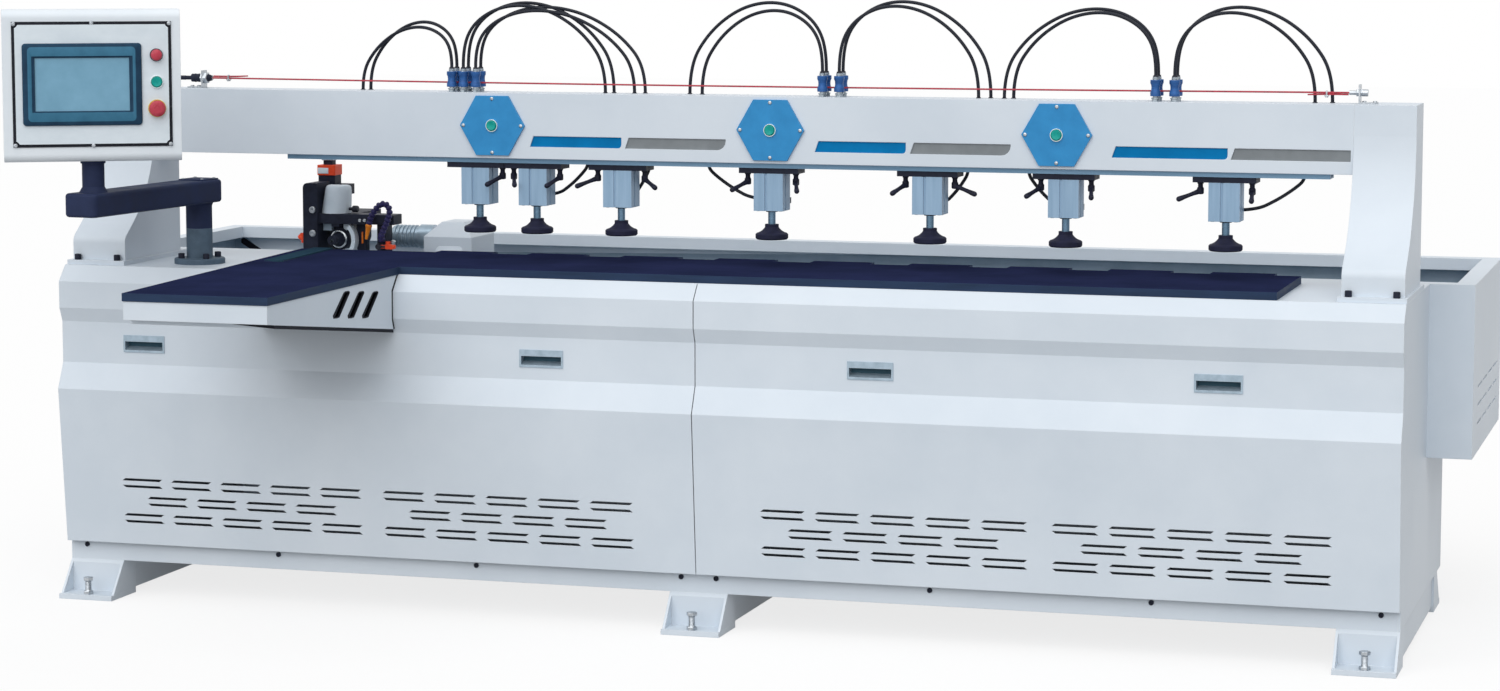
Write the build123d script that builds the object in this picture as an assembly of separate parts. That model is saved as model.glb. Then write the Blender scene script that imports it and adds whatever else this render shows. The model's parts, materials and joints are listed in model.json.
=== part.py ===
from build123d import *
import math
import os

# CNC side hole drilling machine, millimetres, +Z up, +X to the operator's right.
# Origin: floor level, middle of the bed's length, plane of the front panels' upper face.

# Bed: welded frame, cabinet walls and bent front panels
BED_LENGTH = 3260.0
BED_DEPTH = 900.0
DECK_TOP = 820.0
DECK_DEPTH = 515.0
DECK_PLATE = 10.0
WALL_SHEET = 6.0
PANEL_SHEET = 2.0
PANEL_SEAM = 2.0
PANEL_BOTTOM = 137.0
CHAMFER_RUN = 34.0
CHAMFER_DROP = 38.0
BAND_HEIGHT = 65.0
STEP_DEPTH = 14.0
STEP_DROP = 34.0
RECESS_HEIGHT = 101.0
LEDGE_REACH = 29.0
LEDGE_DROP = 63.0
SKIRT_LEAN = 33.0
SEAT_GAP = 0.3

# Ventilation louvres in the front panels
LOUVRE_LENGTH = 107.0
LOUVRE_HEIGHT = 6.0
LOUVRE_SLANT = 8.0
LOUVRE_PITCH = 131.0
LOUVRE_PAIR = 17.0
LOUVRE_ROW = 44.0
LOUVRE_TOP = 290.0
LOUVRE_GROUPS = (160.0, 848.0)

# Flush pull handles in the recessed band
HANDLE_WIDTH = 109.0
HANDLE_HEIGHT = 42.0
HANDLE_FLANGE = 2.0
HANDLE_SIDE = 4.5
HANDLE_BROW = 15.5
HANDLE_SILL = 5.3
HANDLE_SLOPE = 8.0
HANDLE_CUP = 20.0
HANDLE_PLACES = (-1410.0, -380.0, 421.0, 1222.0)

# Frame tubes and feet
TUBE = 60.0
TUBE_WALL = 5.0
CROSS_WIDTH = 142.0
CROSS_HEIGHT = 90.0
RAIL_SETBACK = 40.0
FOOT_REACH = 72.0
FOOT_PLATE = 12.0
FOOT_GUSSET = 6.0
FOOT_SHOE = 60.0
BED_FLOOR = 3.0
FOOT_NOSE = 12.0
BOLT_SETBACK = 18.0
BOLT_RADIUS = 8.0
BOLT_HOLE = 9.0
BOLT_STAND = 46.0
SCREW_COUNT = 4
SCREW_MARGIN = 43.0
SCREW_DROP = 11.0
SCREW_RADIUS = 6.0
SCREW_HEAD = 4.0

# Chip trough behind the deck, with the guideway of the drilling carriage
TROUGH_LENGTH = 3470.0
TROUGH_DEPTH = 715.0
TROUGH_HEIGHT = 408.0
TROUGH_SHEET = 4.0
TROUGH_RIM = 45.0
TROUGH_LIP = 30.0
CABLE_SLOT_X = -1712.0
CABLE_SLOT_Z = 737.0
CABLE_SLOT_RUN = 56.0
CABLE_SLOT_DROP = 33.0
CABLE_SLOT_WIDE = 14.0
GUIDE_SETBACK = 145.0
GUIDE_WIDTH = 120.0
GUIDE_HEIGHT = 124.0
GUIDE_LENGTH = 3320.0
XRAIL_WIDTH = 20.0
XRAIL_HEIGHT = 18.0
XRAIL_SPAN = 80.0

# Work table with its infeed extension and rear tabs
TABLE_THICK = 18.0
TABLE_LEFT = -1098.0
TABLE_SPLAY = 74.0
TABLE_RIGHT = 1345.0
TABLE_FRONT = 38.0
TABLE_DEPTH = 387.0
TAB_FIRST = -812.0
TAB_WIDTH = 150.0
TAB_PITCH = 243.0
TAB_DEPTH = 45.0
TAB_COUNT = 9
EXTENSION_WIDTH = 351.0
EXTENSION_REACH = 712.0
FENCE_WIDTH = 50.0
FENCE_INSET = 34.0
FENCE_HEIGHT = 3.5
FENCE_LENGTH = 350.0
FENCE_SINK = 4.0

# Sheet bracket under the extension
BRACKET_INSET = 2.0
BRACKET_SHEET = 4.0
BRACKET_NOSE = 42.0
BRACKET_ROOT = 128.0
GASKET = 8.0
BRACKET_SLOTS = 3
SLOT_FIRST = 104.0
SLOT_STEP = 84.0
SLOT_WIDE = 28.0
SLOT_LEAN = 61.0
SLOT_TALL = 51.0
SLOT_DROP = 30.0
SLOT_CLIMB = 8.5
SOLE_SETBACK = 36.0

# Columns, beam and clamp rail
COLUMN_WIDTH = 140.0
COLUMN_INSET = 7.0
COLUMN_WALL = 5.0
COLUMN_FRONT = 66.0
COLUMN_REAR = 372.0
COLUMN_FOOT = 54.0
COLUMN_KINK_ROUND = 25.0
COLUMN_BEND = 320.0
COLUMN_NECK = 70.0
COLUMN_PLATE = 11.0
COLUMN_LIP = 20.0
BEAM_FRONT = 240.0
BEAM_TOP = 1246.0
BEAM_HEIGHT = 158.0
BEAM_DEPTH = 90.0
BEAM_WALL = 6.0
CLAMP_RAIL_LEFT = -1130.0
CLAMP_RAIL_RIGHT = 1430.0
CLAMP_RAIL_WIDTH = 66.0
CLAMP_RAIL_HEIGHT = 12.0
SLOT_NECK = 12.0
SLOT_HEAD = 22.0
SLOT_LIP = 4.0
SLOT_ROOF = 2.0

# Beam trim: hexagonal button covers and coloured slot strips
HEX_PLACES = (-584.0, 116.0, 804.0)
HEX_CORNERS = 166.0
HEX_THICK = 6.0
STRIP_HEIGHT = 26.0
STRIP_LIFT = 29.0
STRIP_SLANT = 9.0
STRIP_THICK = 3.0
STRIP_SPANS = ((-489.0, -256.0, 9.0), (-247.0, 5.0, 22.0), (224.0, 445.0, 9.0), (455.0, 695.0, 22.0),
               (932.0, 1199.0, 9.0), (1206.0, 1477.0, 2.0))
BUTTON_RADIUS = 11.5
BUTTON_RING = 15.0
BUTTON_GAP = 0.5
BUTTON_STAND = 7.0
BUTTON_DEPTH = 22.0
RING_DEPTH = 4.0

# Pneumatic clamps hanging from the rail
CLAMP_PLACES = (-636.0, -488.0, -272.0, 106.0, 493.0, 817.0, 1190.0)
CARRIER_LENGTH = 146.0
CARRIER_WIDTH = 60.0
CARRIER_THICK = 13.0
CYLINDER_WIDTH = 72.0
CYLINDER_DEPTH = 62.0
CYLINDER_HEIGHT = 89.0
CYLINDER_GROOVE = 6.5
GROOVE_SHIFT = 6.0
PISTON_RADIUS = 22.0
PISTON_THICK = 10.0
CYLINDER_CAP = 6.0
ROD_RADIUS = 9.0
RUN_GAP = 0.05
ROD_SHOWN = 33.0
CLAMP_STROKE = 62.0
FOOT_RADIUS = 39.0
FOOT_HEIGHT = 36.0
FOOT_NECK = 16.5
FOOT_NECK_HEIGHT = 7.0
FOOT_RIM = 15.0
FOOT_EDGE = 3.0
LEVER_OFFSET = 59.5
LEVER_HUB = 8.0
LEVER_DROP = 29.0
LEVER_REACH = 62.0
LEVER_SLOPE = 18.0
LEVER_TURNS = ((None, -22.6), (22.0, -16.0), (-46.0, 45.0), (-26.0, 18.0), (-20.0, 70.0), (-25.0, 11.0),
               (-54.0, 7.0))
TNUT_GAP = 1.0

# Hand slide valves on the beam and their air hoses
VALVE_PLACES = (-700.0, -670.0, -638.0, 235.0, 276.0, 1027.0, 1071.0)
VALVE_ROWS = (28.0, 62.0)
VALVE_HEIGHT = 60.0
VALVE_SLEEVE = 12.5
HOSE_DIAMETER = 8.0
HOSE_ARCH = ((0.0, 0.0), (0.0, 0.3), (0.08, 0.66), (0.25, 0.93), (0.45, 1.04), (0.66, 0.99),
             (0.86, 0.76), (1.0, 0.38), (1.0, 0.0))
HOSE_LANDINGS = (((-952.0, 72.0, 118.0), (-934.0, 78.0, 130.0)), ((-318.0, 64.0, 172.0), (-300.0, 76.0, 178.0)),
                 ((-246.0, 70.0, 160.0), (-222.0, 80.0, 168.0)), ((-74.0, 66.0, 164.0), (-108.0, 76.0, 182.0)),
                 ((603.0, 66.0, 176.0), (630.0, 76.0, 186.0)), ((684.0, 78.0, 164.0), (664.0, 68.0, 172.0)),
                 ((1386.0, 68.0, 166.0), (1424.0, 78.0, 178.0)))
CLAMP_HOSES = ((1, -370.0), (1, -212.0), (-1, -66.0), (1, 575.0), (-1, 719.0), (1, 1364.0))
CLAMP_HOSE_LINE = ((0.0, 0.0), (0.0, 0.2), (0.12, 0.42), (0.34, 0.72), (0.62, 1.0), (1.0, 1.0))
ELBOW_SHIFT = 12.0
ELBOW_LENGTH = 22.0
ELBOW_DEPTH = 17.0
ELBOW_HEIGHT = 14.0

# Pull cord along the beam
ROPE_DIAMETER = 4.0
ROPE_HEIGHT = 25.0
ROPE_LEFT = -1344.0
ROPE_RIGHT = 1466.0
ANGLE_WIDE = 26.0
ANGLE_FOOT = 42.0
ANGLE_THICK = 4.0
ANGLE_ABOVE = 19.0
EYE_RADIUS = 5.0
FERRULE_LENGTH = 22.0
SWITCH_RADIUS = 10.0
SWITCH_LENGTH = 30.0
SWITCH_ROD = 18.0
EYE_NUT_RADIUS = 8.0
EYE_NUT_LENGTH = 16.0

# Swinging control panel
POST_X = -1330.0
POST_Y = 165.0
POST_RADIUS = 32.0
POST_FLANGE = 62.0
POST_FLANGE_THICK = 14.0
POST_HEIGHT = 87.0
PIVOT_RADIUS = 20.0
PIVOT_END = 4.0
POST_FLANGE_ROUND = 4.0
SLEEVE_HEIGHT = 63.0
ARM_LENGTH = 458.0
ARM_TURN = -6.3
ARM_WIDTH = 88.0
ARM_HEIGHT = 56.0
ARM_TAIL = 45.0
ARM_NOSE = 62.0
ARM_ROUND = 8.0
UPRIGHT_RADIUS = 26.0
UPRIGHT_HEIGHT = 68.0
SWIVEL_RADIUS = 14.0
SWIVEL_COLLAR = 7.0
BOX_TURN = 29.3
BOX_WIDTH = 406.0
BOX_HEIGHT = 352.0
BOX_DEPTH = 120.0
BOX_ROUND = 18.0
BOX_SHEET = 3.0
PLATE_WIDTH = 364.0
PLATE_HEIGHT = 290.0
PLATE_RAISE = 4.0
PLATE_THICK = 3.0
PLATE_GASKET = 2.0
PLATE_MARGIN = 7.0
PLATE_NOTCH = 16.0
PLATE_REST = 18.0
SCREEN_WIDTH = 272.0
SCREEN_HEIGHT = 190.0
SCREEN_THICK = 6.0
SCREEN_ROUND = 8.0
SCREEN_BODY = 35.0
SCREEN_SHIFT = -23.0
SCREEN_REST = 8.0
DISPLAY_WIDTH = 216.0
DISPLAY_HEIGHT = 124.0
CONTROL_SHIFT = 147.0
LAMP_LIFT = 67.0
START_LIFT = 4.5
ESTOP_LIFT = -57.0
ESTOP_RADIUS = 19.0
ESTOP_STEM = 8.0
ESTOP_BASE = 20.5
ESTOP_TRAVEL = 5.0
ESTOP_HEAD = 11.4
ESTOP_ROUND = 4.0
ESTOP_UNDER = 3.0

# Drilling unit: saddle, tower, lift slide and spindle
SPINDLE_X = -1127.0
SPINDLE_LIFT = 14.0
SPINDLE_SETBACK = 45.0
SPINDLE_RADIUS = 28.0
SPINDLE_LENGTH = 140.0
SPINDLE_CAP = 10.0
NOSE_RADIUS = 12.0
NOSE_LENGTH = 52.0
NOSE_TAPER = 20.0
SHAFT_RADIUS = 10.0
COLLET_RADIUS = 5.0
COLLET_DEPTH = 25.0
FEED_GUIDE = 10.0
FEED_GUIDE_DROP = 8.0
HEAD_CLEAR = 2.0
HEAD_SETBACK = 5.0
HEAD_DEPTH = 80.0
HEAD_BLOCK = 40.0
HEAD_GAP = 14.0
HEAD_BLOCK_HEIGHT = 174.0
HEAD_BLOCK_ROUND = 12.0
LIFT_PLATE = 25.0
LIFT_PLATE_LIFT = 71.0
LIFT_PLATE_LENGTH = 205.0
LIFT_PLATE_INSET = 10.0
LIFT_PLATE_DEPTH = 190.0
LIFT_WING_DEPTH = 54.0
LIFT_WING_GAP = 19.0
PILLAR_WIDTH = 24.0
PILLAR_DEPTH = 54.0
PILLAR_INSET = 26.0
HOOD_WIDTH = 67.0
HOOD_DEPTH = 50.0
HOOD_HEIGHT = 72.0
HOOD_BOW = 30.0
SHROUD_RADIUS = 54.0
SHROUD_WALL = 12.0
SHROUD_DEPTH = 26.0
STOP_WIDTH = 24.0
STOP_DEPTH = 26.0
STOP_INSET = 28.0
STOP_GAP = 39.0
AIR_HOSE_DIAMETER = 14.0
AIR_HOSE_PROUD = 14.0
AIR_HOSE_INSET = 16.0
AIR_HOSE_LINE = ((0.0, 34.0, 34.0), (1.0, 20.0, 34.0), (5.0, 8.0, 40.0), (13.0, 1.0, 54.0), (24.0, 0.0, 76.0),
                 (33.0, 0.0, 98.0), (33.5, 0.0, 114.0), (26.5, 0.0, 125.5), (10.0, 0.0, 127.0),
                 (-1.5, 0.0, 116.0), (-18.5, 0.0, 95.0), (-23.5, 0.0, 72.0))
NOZZLE_BASE = 9.0
NOZZLE_TIP_RADIUS = 4.0
NOZZLE_TUBE = 37.0
FITTING_REACH = 24.0
FITTING_WIDTH = 20.0
FITTING_HEIGHT = 30.0
FITTING_INSET = 5.0
FITTING_LIFT = 18.0
PLUG_RADIUS = 9.0
PLUG_STAND = 14.0
PLUG_INSET = 12.0
PLUG_LIFT = 16.0
TOWER_WIDTH = 66.0
TOWER_DEPTH = 76.0
TOWER_TOP = 960.0
MOTOR_SIZE = 50.0
MOTOR_PLATE = 26.0
MOTOR_BODY = 24.0
MOTOR_CAP = 26.0
MOTOR_PLUG = 12.0
MOTOR_SHIFT = 38.0
MOTOR_STEP = 4.0
SADDLE_THICK = 20.0
SADDLE_LENGTH = 415.0
SADDLE_WIDTH = 160.0
BEARING_LENGTH = 70.0
BEARING_WIDTH = 38.0
BEARING_GAP = 0.4
BEARING_LIFT = 4.0
BEARING_ROOF = 10.0
COVER_LENGTH = 131.0
COVER_HEIGHT = 72.0
COVER_CHAMFER = 36.0
COVER_SHEET = 3.0
DRIVE_RADIUS = 26.0
DRIVE_LENGTH = 113.0
DRIVE_DROP = 43.0

HALF_BED = BED_LENGTH / 2
TABLE_TOP = DECK_TOP + TABLE_THICK
TABLE_REAR = TABLE_FRONT + TABLE_DEPTH
TROUGH_BOTTOM = DECK_TOP - TROUGH_HEIGHT
TROUGH_REAR = DECK_DEPTH + TROUGH_DEPTH
BEAM_BOTTOM = BEAM_TOP - BEAM_HEIGHT
BEAM_REAR = BEAM_FRONT + BEAM_DEPTH
COLUMN_INNER = HALF_BED - COLUMN_INSET - COLUMN_WIDTH
HEAD_FRONT = DECK_DEPTH + HEAD_SETBACK
HEAD_REAR = HEAD_FRONT + HEAD_DEPTH
SPINDLE_FACE = DECK_DEPTH + SPINDLE_SETBACK


def block(x0, x1, y0, y1, z0, z1):
    """A square-edged block between two opposite corners."""
    return Pos((x0 + x1) / 2, (y0 + y1) / 2, (z0 + z1) / 2) * Box(x1 - x0, y1 - y0, z1 - z0)


def side_prism(points, x0, x1):
    """A (Y, Z) outline pulled along X."""
    outline = make_face(Plane.YZ * Polyline(*points, close=True))
    return Pos(x0, 0, 0) * extrude(outline, x1 - x0, dir=(1, 0, 0))


def front_prism(points, y0, y1):
    """An (X, Z) outline pulled along Y."""
    outline = make_face(Plane.XZ * Polyline(*points, close=True))
    return Pos(0, y0, 0) * extrude(outline, y1 - y0, dir=(0, 1, 0))


def plan_prism(points, z0, z1):
    """An (X, Y) outline pulled up along Z."""
    outline = make_face(Polyline(*points, close=True))
    return Pos(0, 0, z0) * extrude(outline, z1 - z0, dir=(0, 0, 1))


def post(x, y, z0, z1, radius):
    """An upright round bar."""
    return Pos(x, y, (z0 + z1) / 2) * Cylinder(radius, z1 - z0)


def bar_y(x, z, y0, y1, radius):
    """A round bar along Y."""
    return Pos(x, (y0 + y1) / 2, z) * Rot(90, 0, 0) * Cylinder(radius, y1 - y0)


def bar_x(y, z, x0, x1, radius):
    """A round bar along X."""
    return Pos((x0 + x1) / 2, y, z) * Rot(0, 90, 0) * Cylinder(radius, x1 - x0)


def hexagon(radius, height):
    """A hexagon bar standing on its end, its corners on the given radius."""
    return extrude(RegularPolygon(radius, 6), height)


def tube(x0, x1, y0, y1, z0, z1, wall, along):
    """A rectangular tube, open at both ends along the given axis."""
    shrink = {axis: 0.0 if axis == along else wall for axis in "xyz"}
    bore = block(x0 + shrink["x"], x1 - shrink["x"], y0 + shrink["y"], y1 - shrink["y"],
                 z0 + shrink["z"], z1 - shrink["z"])
    return block(x0, x1, y0, y1, z0, z1) - bore


def bent_line(points, gap):
    """The same bent (Y, Z) line, moved square to itself by gap, towards the back."""
    normals = []
    for (y0, z0), (y1, z1) in zip(points, points[1:]):
        length = math.hypot(y1 - y0, z1 - z0)
        normals.append(((z0 - z1) / length, (y1 - y0) / length))
    moved = []
    for index, (y, z) in enumerate(points):
        before = normals[max(index - 1, 0)]
        after = normals[min(index, len(normals) - 1)]
        share = gap / (1 + before[0] * after[0] + before[1] * after[1])
        moved.append((y + share * (before[0] + after[0]), z + share * (before[1] + after[1])))
    return moved


def cord_tube(points, diameter):
    """A square-section stand-in tube of straight runs and tangent arcs, as wide as the cord."""
    runs = [Vector(*b) - Vector(*a) for a, b in zip(points, points[1:])]
    radii = []
    for before, after in zip(runs, runs[1:]):
        half_turn = math.radians(before.get_angle(after)) / 2
        radii.append(0.45 * min(before.length, after.length) / math.tan(half_turn))
    path = FilletPolyline(*points, radius=radii)
    section = Plane(path @ 0, z_dir=path % 0) * Rectangle(diameter * 0.886, diameter * 0.886)
    solid = sweep(section, path)
    print("cord radii", [round(r) for r in radii], "length", round(path.length),
          "volume ratio", round(solid.volume / (section.area * path.length), 4))
    return solid


parts = {}

# Front panel profile, from the deck edge down to the skirt
profile = [(CHAMFER_RUN, DECK_TOP), (0.0, DECK_TOP - CHAMFER_DROP)]
profile.append((0.0, profile[-1][1] - BAND_HEIGHT))
profile.append((STEP_DEPTH, profile[-1][1] - STEP_DROP))
profile.append((STEP_DEPTH, profile[-1][1] - RECESS_HEIGHT))
profile.append((STEP_DEPTH - LEDGE_REACH, profile[-1][1] - LEDGE_DROP))
profile.append((profile[-1][0] + SKIRT_LEAN, PANEL_BOTTOM))
RECESS_MIDDLE = (profile[3][1] + profile[4][1]) / 2
RECESS_FACE = STEP_DEPTH
POCKET_HALF = HANDLE_WIDTH / 2 - HANDLE_SIDE
POCKET_LOW = RECESS_MIDDLE - HANDLE_HEIGHT / 2 + HANDLE_SILL
POCKET_HIGH = RECESS_MIDDLE + HANDLE_HEIGHT / 2 - HANDLE_BROW
skin = profile + bent_line(profile, PANEL_SHEET)[::-1]
wall_front = bent_line(profile, PANEL_SHEET + SEAT_GAP)
DECK_FRONT = CHAMFER_RUN + PANEL_SHEET
DECK_UNDER = DECK_TOP - DECK_PLATE
chamfer_slope = (wall_front[0][0] - wall_front[1][0]) / (wall_front[0][1] - wall_front[1][1])
wall_front[0] = (wall_front[1][0] + (DECK_UNDER - wall_front[1][1]) * chamfer_slope, DECK_UNDER)


def louvre_group(start):
    """Three staggered rows of slot pairs, each slot cut right through the skirt."""
    cutters = []
    for row, count in enumerate((5, 4, 5)):
        for index in range(count):
            x = start + index * LOUVRE_PITCH + (LOUVRE_PITCH / 2 if count == 4 else 0.0)
            for side in (1, -1):
                z = LOUVRE_TOP - row * LOUVRE_ROW + side * LOUVRE_PAIR / 2
                inner = z - side * LOUVRE_HEIGHT / 2
                outer = z + side * LOUVRE_HEIGHT / 2
                outline = [(x, inner), (x + LOUVRE_SLANT, outer), (x + LOUVRE_LENGTH, outer),
                           (x + LOUVRE_LENGTH - LOUVRE_SLANT, inner)]
                cutters.append(front_prism(outline, -LEDGE_REACH, SKIRT_LEAN + TUBE))
    return cutters


for side, x0, x1 in (("left", -HALF_BED, -PANEL_SEAM / 2), ("right", PANEL_SEAM / 2, HALF_BED)):
    cutters = [cut for start in LOUVRE_GROUPS for cut in louvre_group(x0 + start)]
    cup_x = POCKET_HALF + HANDLE_FLANGE + SEAT_GAP
    for place in HANDLE_PLACES:
        if x0 < place < x1:
            cutters.append(block(place - cup_x, place + cup_x, RECESS_FACE - 1, RECESS_FACE + HANDLE_CUP,
                                 POCKET_LOW - HANDLE_FLANGE - SEAT_GAP, POCKET_HIGH + HANDLE_FLANGE + SEAT_GAP))
    parts[f"{side}_front_panel"] = side_prism(skin, x0, x1) - cutters


def flush_handle(x):
    """A pull cup: a flat flange with a broad brow, and a thin-walled pocket whose floor climbs to the back."""
    half_x = HANDLE_WIDTH / 2
    half_z = HANDLE_HEIGHT / 2
    front = RECESS_FACE - HANDLE_FLANGE
    back = RECESS_FACE + HANDLE_CUP
    wall = HANDLE_FLANGE
    shape = block(x - half_x, x + half_x, front, RECESS_FACE, RECESS_MIDDLE - half_z, RECESS_MIDDLE + half_z)
    shape += block(x - POCKET_HALF - wall, x + POCKET_HALF + wall, RECESS_FACE, back, POCKET_LOW - wall,
                   POCKET_HIGH + wall)
    pocket = [(front, POCKET_LOW), (back - wall, POCKET_LOW + HANDLE_SLOPE), (back - wall, POCKET_HIGH),
              (front, POCKET_HIGH)]
    return shape - side_prism(pocket, x - POCKET_HALF, x + POCKET_HALF)


parts["panel_handles"] = [flush_handle(x) for x in HANDLE_PLACES]

# Cabinet: deck plate, end walls and rear cover
CROSS_PLACES = (-(HALF_BED - CROSS_WIDTH / 2), 0.0, HALF_BED - CROSS_WIDTH / 2)
end_wall = wall_front + [(RAIL_SETBACK, PANEL_BOTTOM), (RAIL_SETBACK, CROSS_HEIGHT),
                         (BED_DEPTH, CROSS_HEIGHT), (BED_DEPTH, TROUGH_BOTTOM),
                         (DECK_DEPTH, TROUGH_BOTTOM), (DECK_DEPTH, DECK_UNDER)]
WALL_INNER = HALF_BED - WALL_SHEET
parts["bed_housing"] = [
    block(-HALF_BED, HALF_BED, DECK_FRONT, DECK_DEPTH, DECK_UNDER, DECK_TOP),
    side_prism(end_wall, -HALF_BED, -WALL_INNER),
    side_prism(end_wall, WALL_INNER, HALF_BED),
    block(-WALL_INNER, WALL_INNER, BED_DEPTH - WALL_SHEET, BED_DEPTH, CROSS_HEIGHT, TROUGH_BOTTOM),
]

# Frame: cross rails in splayed feet, long rails, uprights and the floor sheet of the bed
RAIL_REAR = BED_DEPTH - WALL_SHEET - FOOT_REACH
FRONT_BOLT_Y = RAIL_SETBACK - FOOT_REACH + BOLT_SETBACK
REAR_BOLT_Y = RAIL_REAR + FOOT_REACH - BOLT_SETBACK


def foot(x, root, toe, bolt_y):
    """One foot: a floor plate with a levelling bolt hole, two gussets holding the rail's end, a closing plate."""
    half = CROSS_WIDTH / 2
    inward = math.copysign(1.0, root - toe)
    low, high = sorted((toe, root + inward * FOOT_SHOE))
    plate = block(x - half, x + half, low, high, 0.0, FOOT_PLATE)
    plate -= post(x, bolt_y, 0.0, FOOT_PLATE, BOLT_HOLE)
    nose = toe + inward * FOOT_NOSE
    heel = root + inward * FOOT_SHOE
    gusset = [(nose, FOOT_PLATE), (heel, FOOT_PLATE), (heel, CROSS_HEIGHT), (root, CROSS_HEIGHT)]
    closing = [(root, FOOT_PLATE), (root, CROSS_HEIGHT), (root - inward * FOOT_GUSSET, CLOSING_TOP),
               (root - inward * FOOT_GUSSET, FOOT_PLATE)]
    return [plate, side_prism(gusset, x - half, x - half + FOOT_GUSSET),
            side_prism(gusset, x + half - FOOT_GUSSET, x + half),
            side_prism(closing, x - half + FOOT_GUSSET, x + half - FOOT_GUSSET)]


frame = []
CLOSING_TOP = CROSS_HEIGHT - FOOT_GUSSET * (CROSS_HEIGHT - FOOT_PLATE) / (FOOT_REACH - FOOT_NOSE)
for x in CROSS_PLACES:
    half = CROSS_WIDTH / 2 - FOOT_GUSSET
    frame.append(tube(x - half, x + half, RAIL_SETBACK, RAIL_REAR, FOOT_PLATE, CROSS_HEIGHT, TUBE_WALL, "y"))
    frame += foot(x, RAIL_SETBACK, RAIL_SETBACK - FOOT_REACH, FRONT_BOLT_Y)
    frame += foot(x, RAIL_REAR, RAIL_REAR + FOOT_REACH, REAR_BOLT_Y)
    inner = max(-WALL_INNER + TUBE / 2, min(WALL_INNER - TUBE / 2, x))
    for y, bottom, top in ((RAIL_SETBACK, PANEL_BOTTOM, DECK_UNDER),
                           (DECK_DEPTH - TUBE, CROSS_HEIGHT + BED_FLOOR, DECK_UNDER),
                           (RAIL_REAR - TUBE, PANEL_BOTTOM, TROUGH_BOTTOM)):
        frame.append(tube(inner - TUBE / 2, inner + TUBE / 2, y, y + TUBE, bottom, top, TUBE_WALL, "z"))
frame.append(block(-WALL_INNER, WALL_INNER, RAIL_SETBACK + TUBE, RAIL_REAR - TUBE, CROSS_HEIGHT,
                   CROSS_HEIGHT + BED_FLOOR))
for y in (RAIL_SETBACK, RAIL_REAR - TUBE):
    frame.append(tube(-WALL_INNER, WALL_INNER, y, y + TUBE, CROSS_HEIGHT, PANEL_BOTTOM, TUBE_WALL, "x"))
parts["base_frame"] = frame

# Chip trough: a sheet box with an inward rim, louvred ends and a slanted slot in its rear wall
HALF_TROUGH = TROUGH_LENGTH / 2
trough = block(-HALF_TROUGH, HALF_TROUGH, DECK_DEPTH, TROUGH_REAR, TROUGH_BOTTOM, DECK_TOP)
trough -= block(-HALF_TROUGH + TROUGH_SHEET, HALF_TROUGH - TROUGH_SHEET, DECK_DEPTH + TROUGH_SHEET,
                TROUGH_REAR - TROUGH_SHEET, TROUGH_BOTTOM + TROUGH_SHEET, DECK_TOP - TROUGH_SHEET)
trough -= block(-HALF_TROUGH + TROUGH_RIM, HALF_TROUGH - TROUGH_RIM, DECK_DEPTH + TROUGH_RIM,
                TROUGH_REAR - TROUGH_RIM, DECK_TOP - TROUGH_RIM, DECK_TOP)
lip = block(-HALF_TROUGH + TROUGH_RIM - TROUGH_SHEET, HALF_TROUGH - TROUGH_RIM + TROUGH_SHEET,
            DECK_DEPTH + TROUGH_RIM - TROUGH_SHEET, TROUGH_REAR - TROUGH_RIM + TROUGH_SHEET,
            DECK_TOP - TROUGH_LIP, DECK_TOP)
lip -= block(-HALF_TROUGH + TROUGH_RIM, HALF_TROUGH - TROUGH_RIM, DECK_DEPTH + TROUGH_RIM,
             TROUGH_REAR - TROUGH_RIM, DECK_TOP - TROUGH_LIP, DECK_TOP)
trough += lip
end_slots = []
for group in (0.16, 0.54):
    for row in range(3):
        for index in range(2):
            y = DECK_DEPTH + TROUGH_DEPTH * group + index * LOUVRE_PITCH
            z = TROUGH_BOTTOM + LOUVRE_ROW * (row + 1.5)
            end_slots.append(block(-HALF_TROUGH, HALF_TROUGH, y, y + LOUVRE_LENGTH, z, z + LOUVRE_HEIGHT))
cable_slot = [(CABLE_SLOT_X, CABLE_SLOT_Z + CABLE_SLOT_DROP), (CABLE_SLOT_X + CABLE_SLOT_RUN, CABLE_SLOT_Z),
              (CABLE_SLOT_X + CABLE_SLOT_RUN, CABLE_SLOT_Z + CABLE_SLOT_WIDE),
              (CABLE_SLOT_X, CABLE_SLOT_Z + CABLE_SLOT_DROP + CABLE_SLOT_WIDE)]
end_slots.append(front_prism(cable_slot, TROUGH_REAR - TROUGH_SHEET, TROUGH_REAR))
parts["rear_trough"] = trough - end_slots

# Guideway inside the trough: box beam, two waisted rails and a drive rack
GUIDE_FRONT = DECK_DEPTH + GUIDE_SETBACK
GUIDE_MIDDLE = GUIDE_FRONT + GUIDE_WIDTH / 2
GUIDE_BOTTOM = TROUGH_BOTTOM + TROUGH_SHEET
GUIDE_TOP = GUIDE_BOTTOM + GUIDE_HEIGHT
HALF_GUIDE = GUIDE_LENGTH / 2
XRAIL_TOP = GUIDE_TOP + XRAIL_HEIGHT
XRAIL_WAIST = XRAIL_WIDTH * 0.3
XRAIL_LINES = (GUIDE_MIDDLE - XRAIL_SPAN / 2, GUIDE_MIDDLE + XRAIL_SPAN / 2)
guideway = [tube(-HALF_GUIDE, HALF_GUIDE, GUIDE_FRONT, GUIDE_FRONT + GUIDE_WIDTH, GUIDE_BOTTOM, GUIDE_TOP,
                 TUBE_WALL, "x")]
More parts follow.
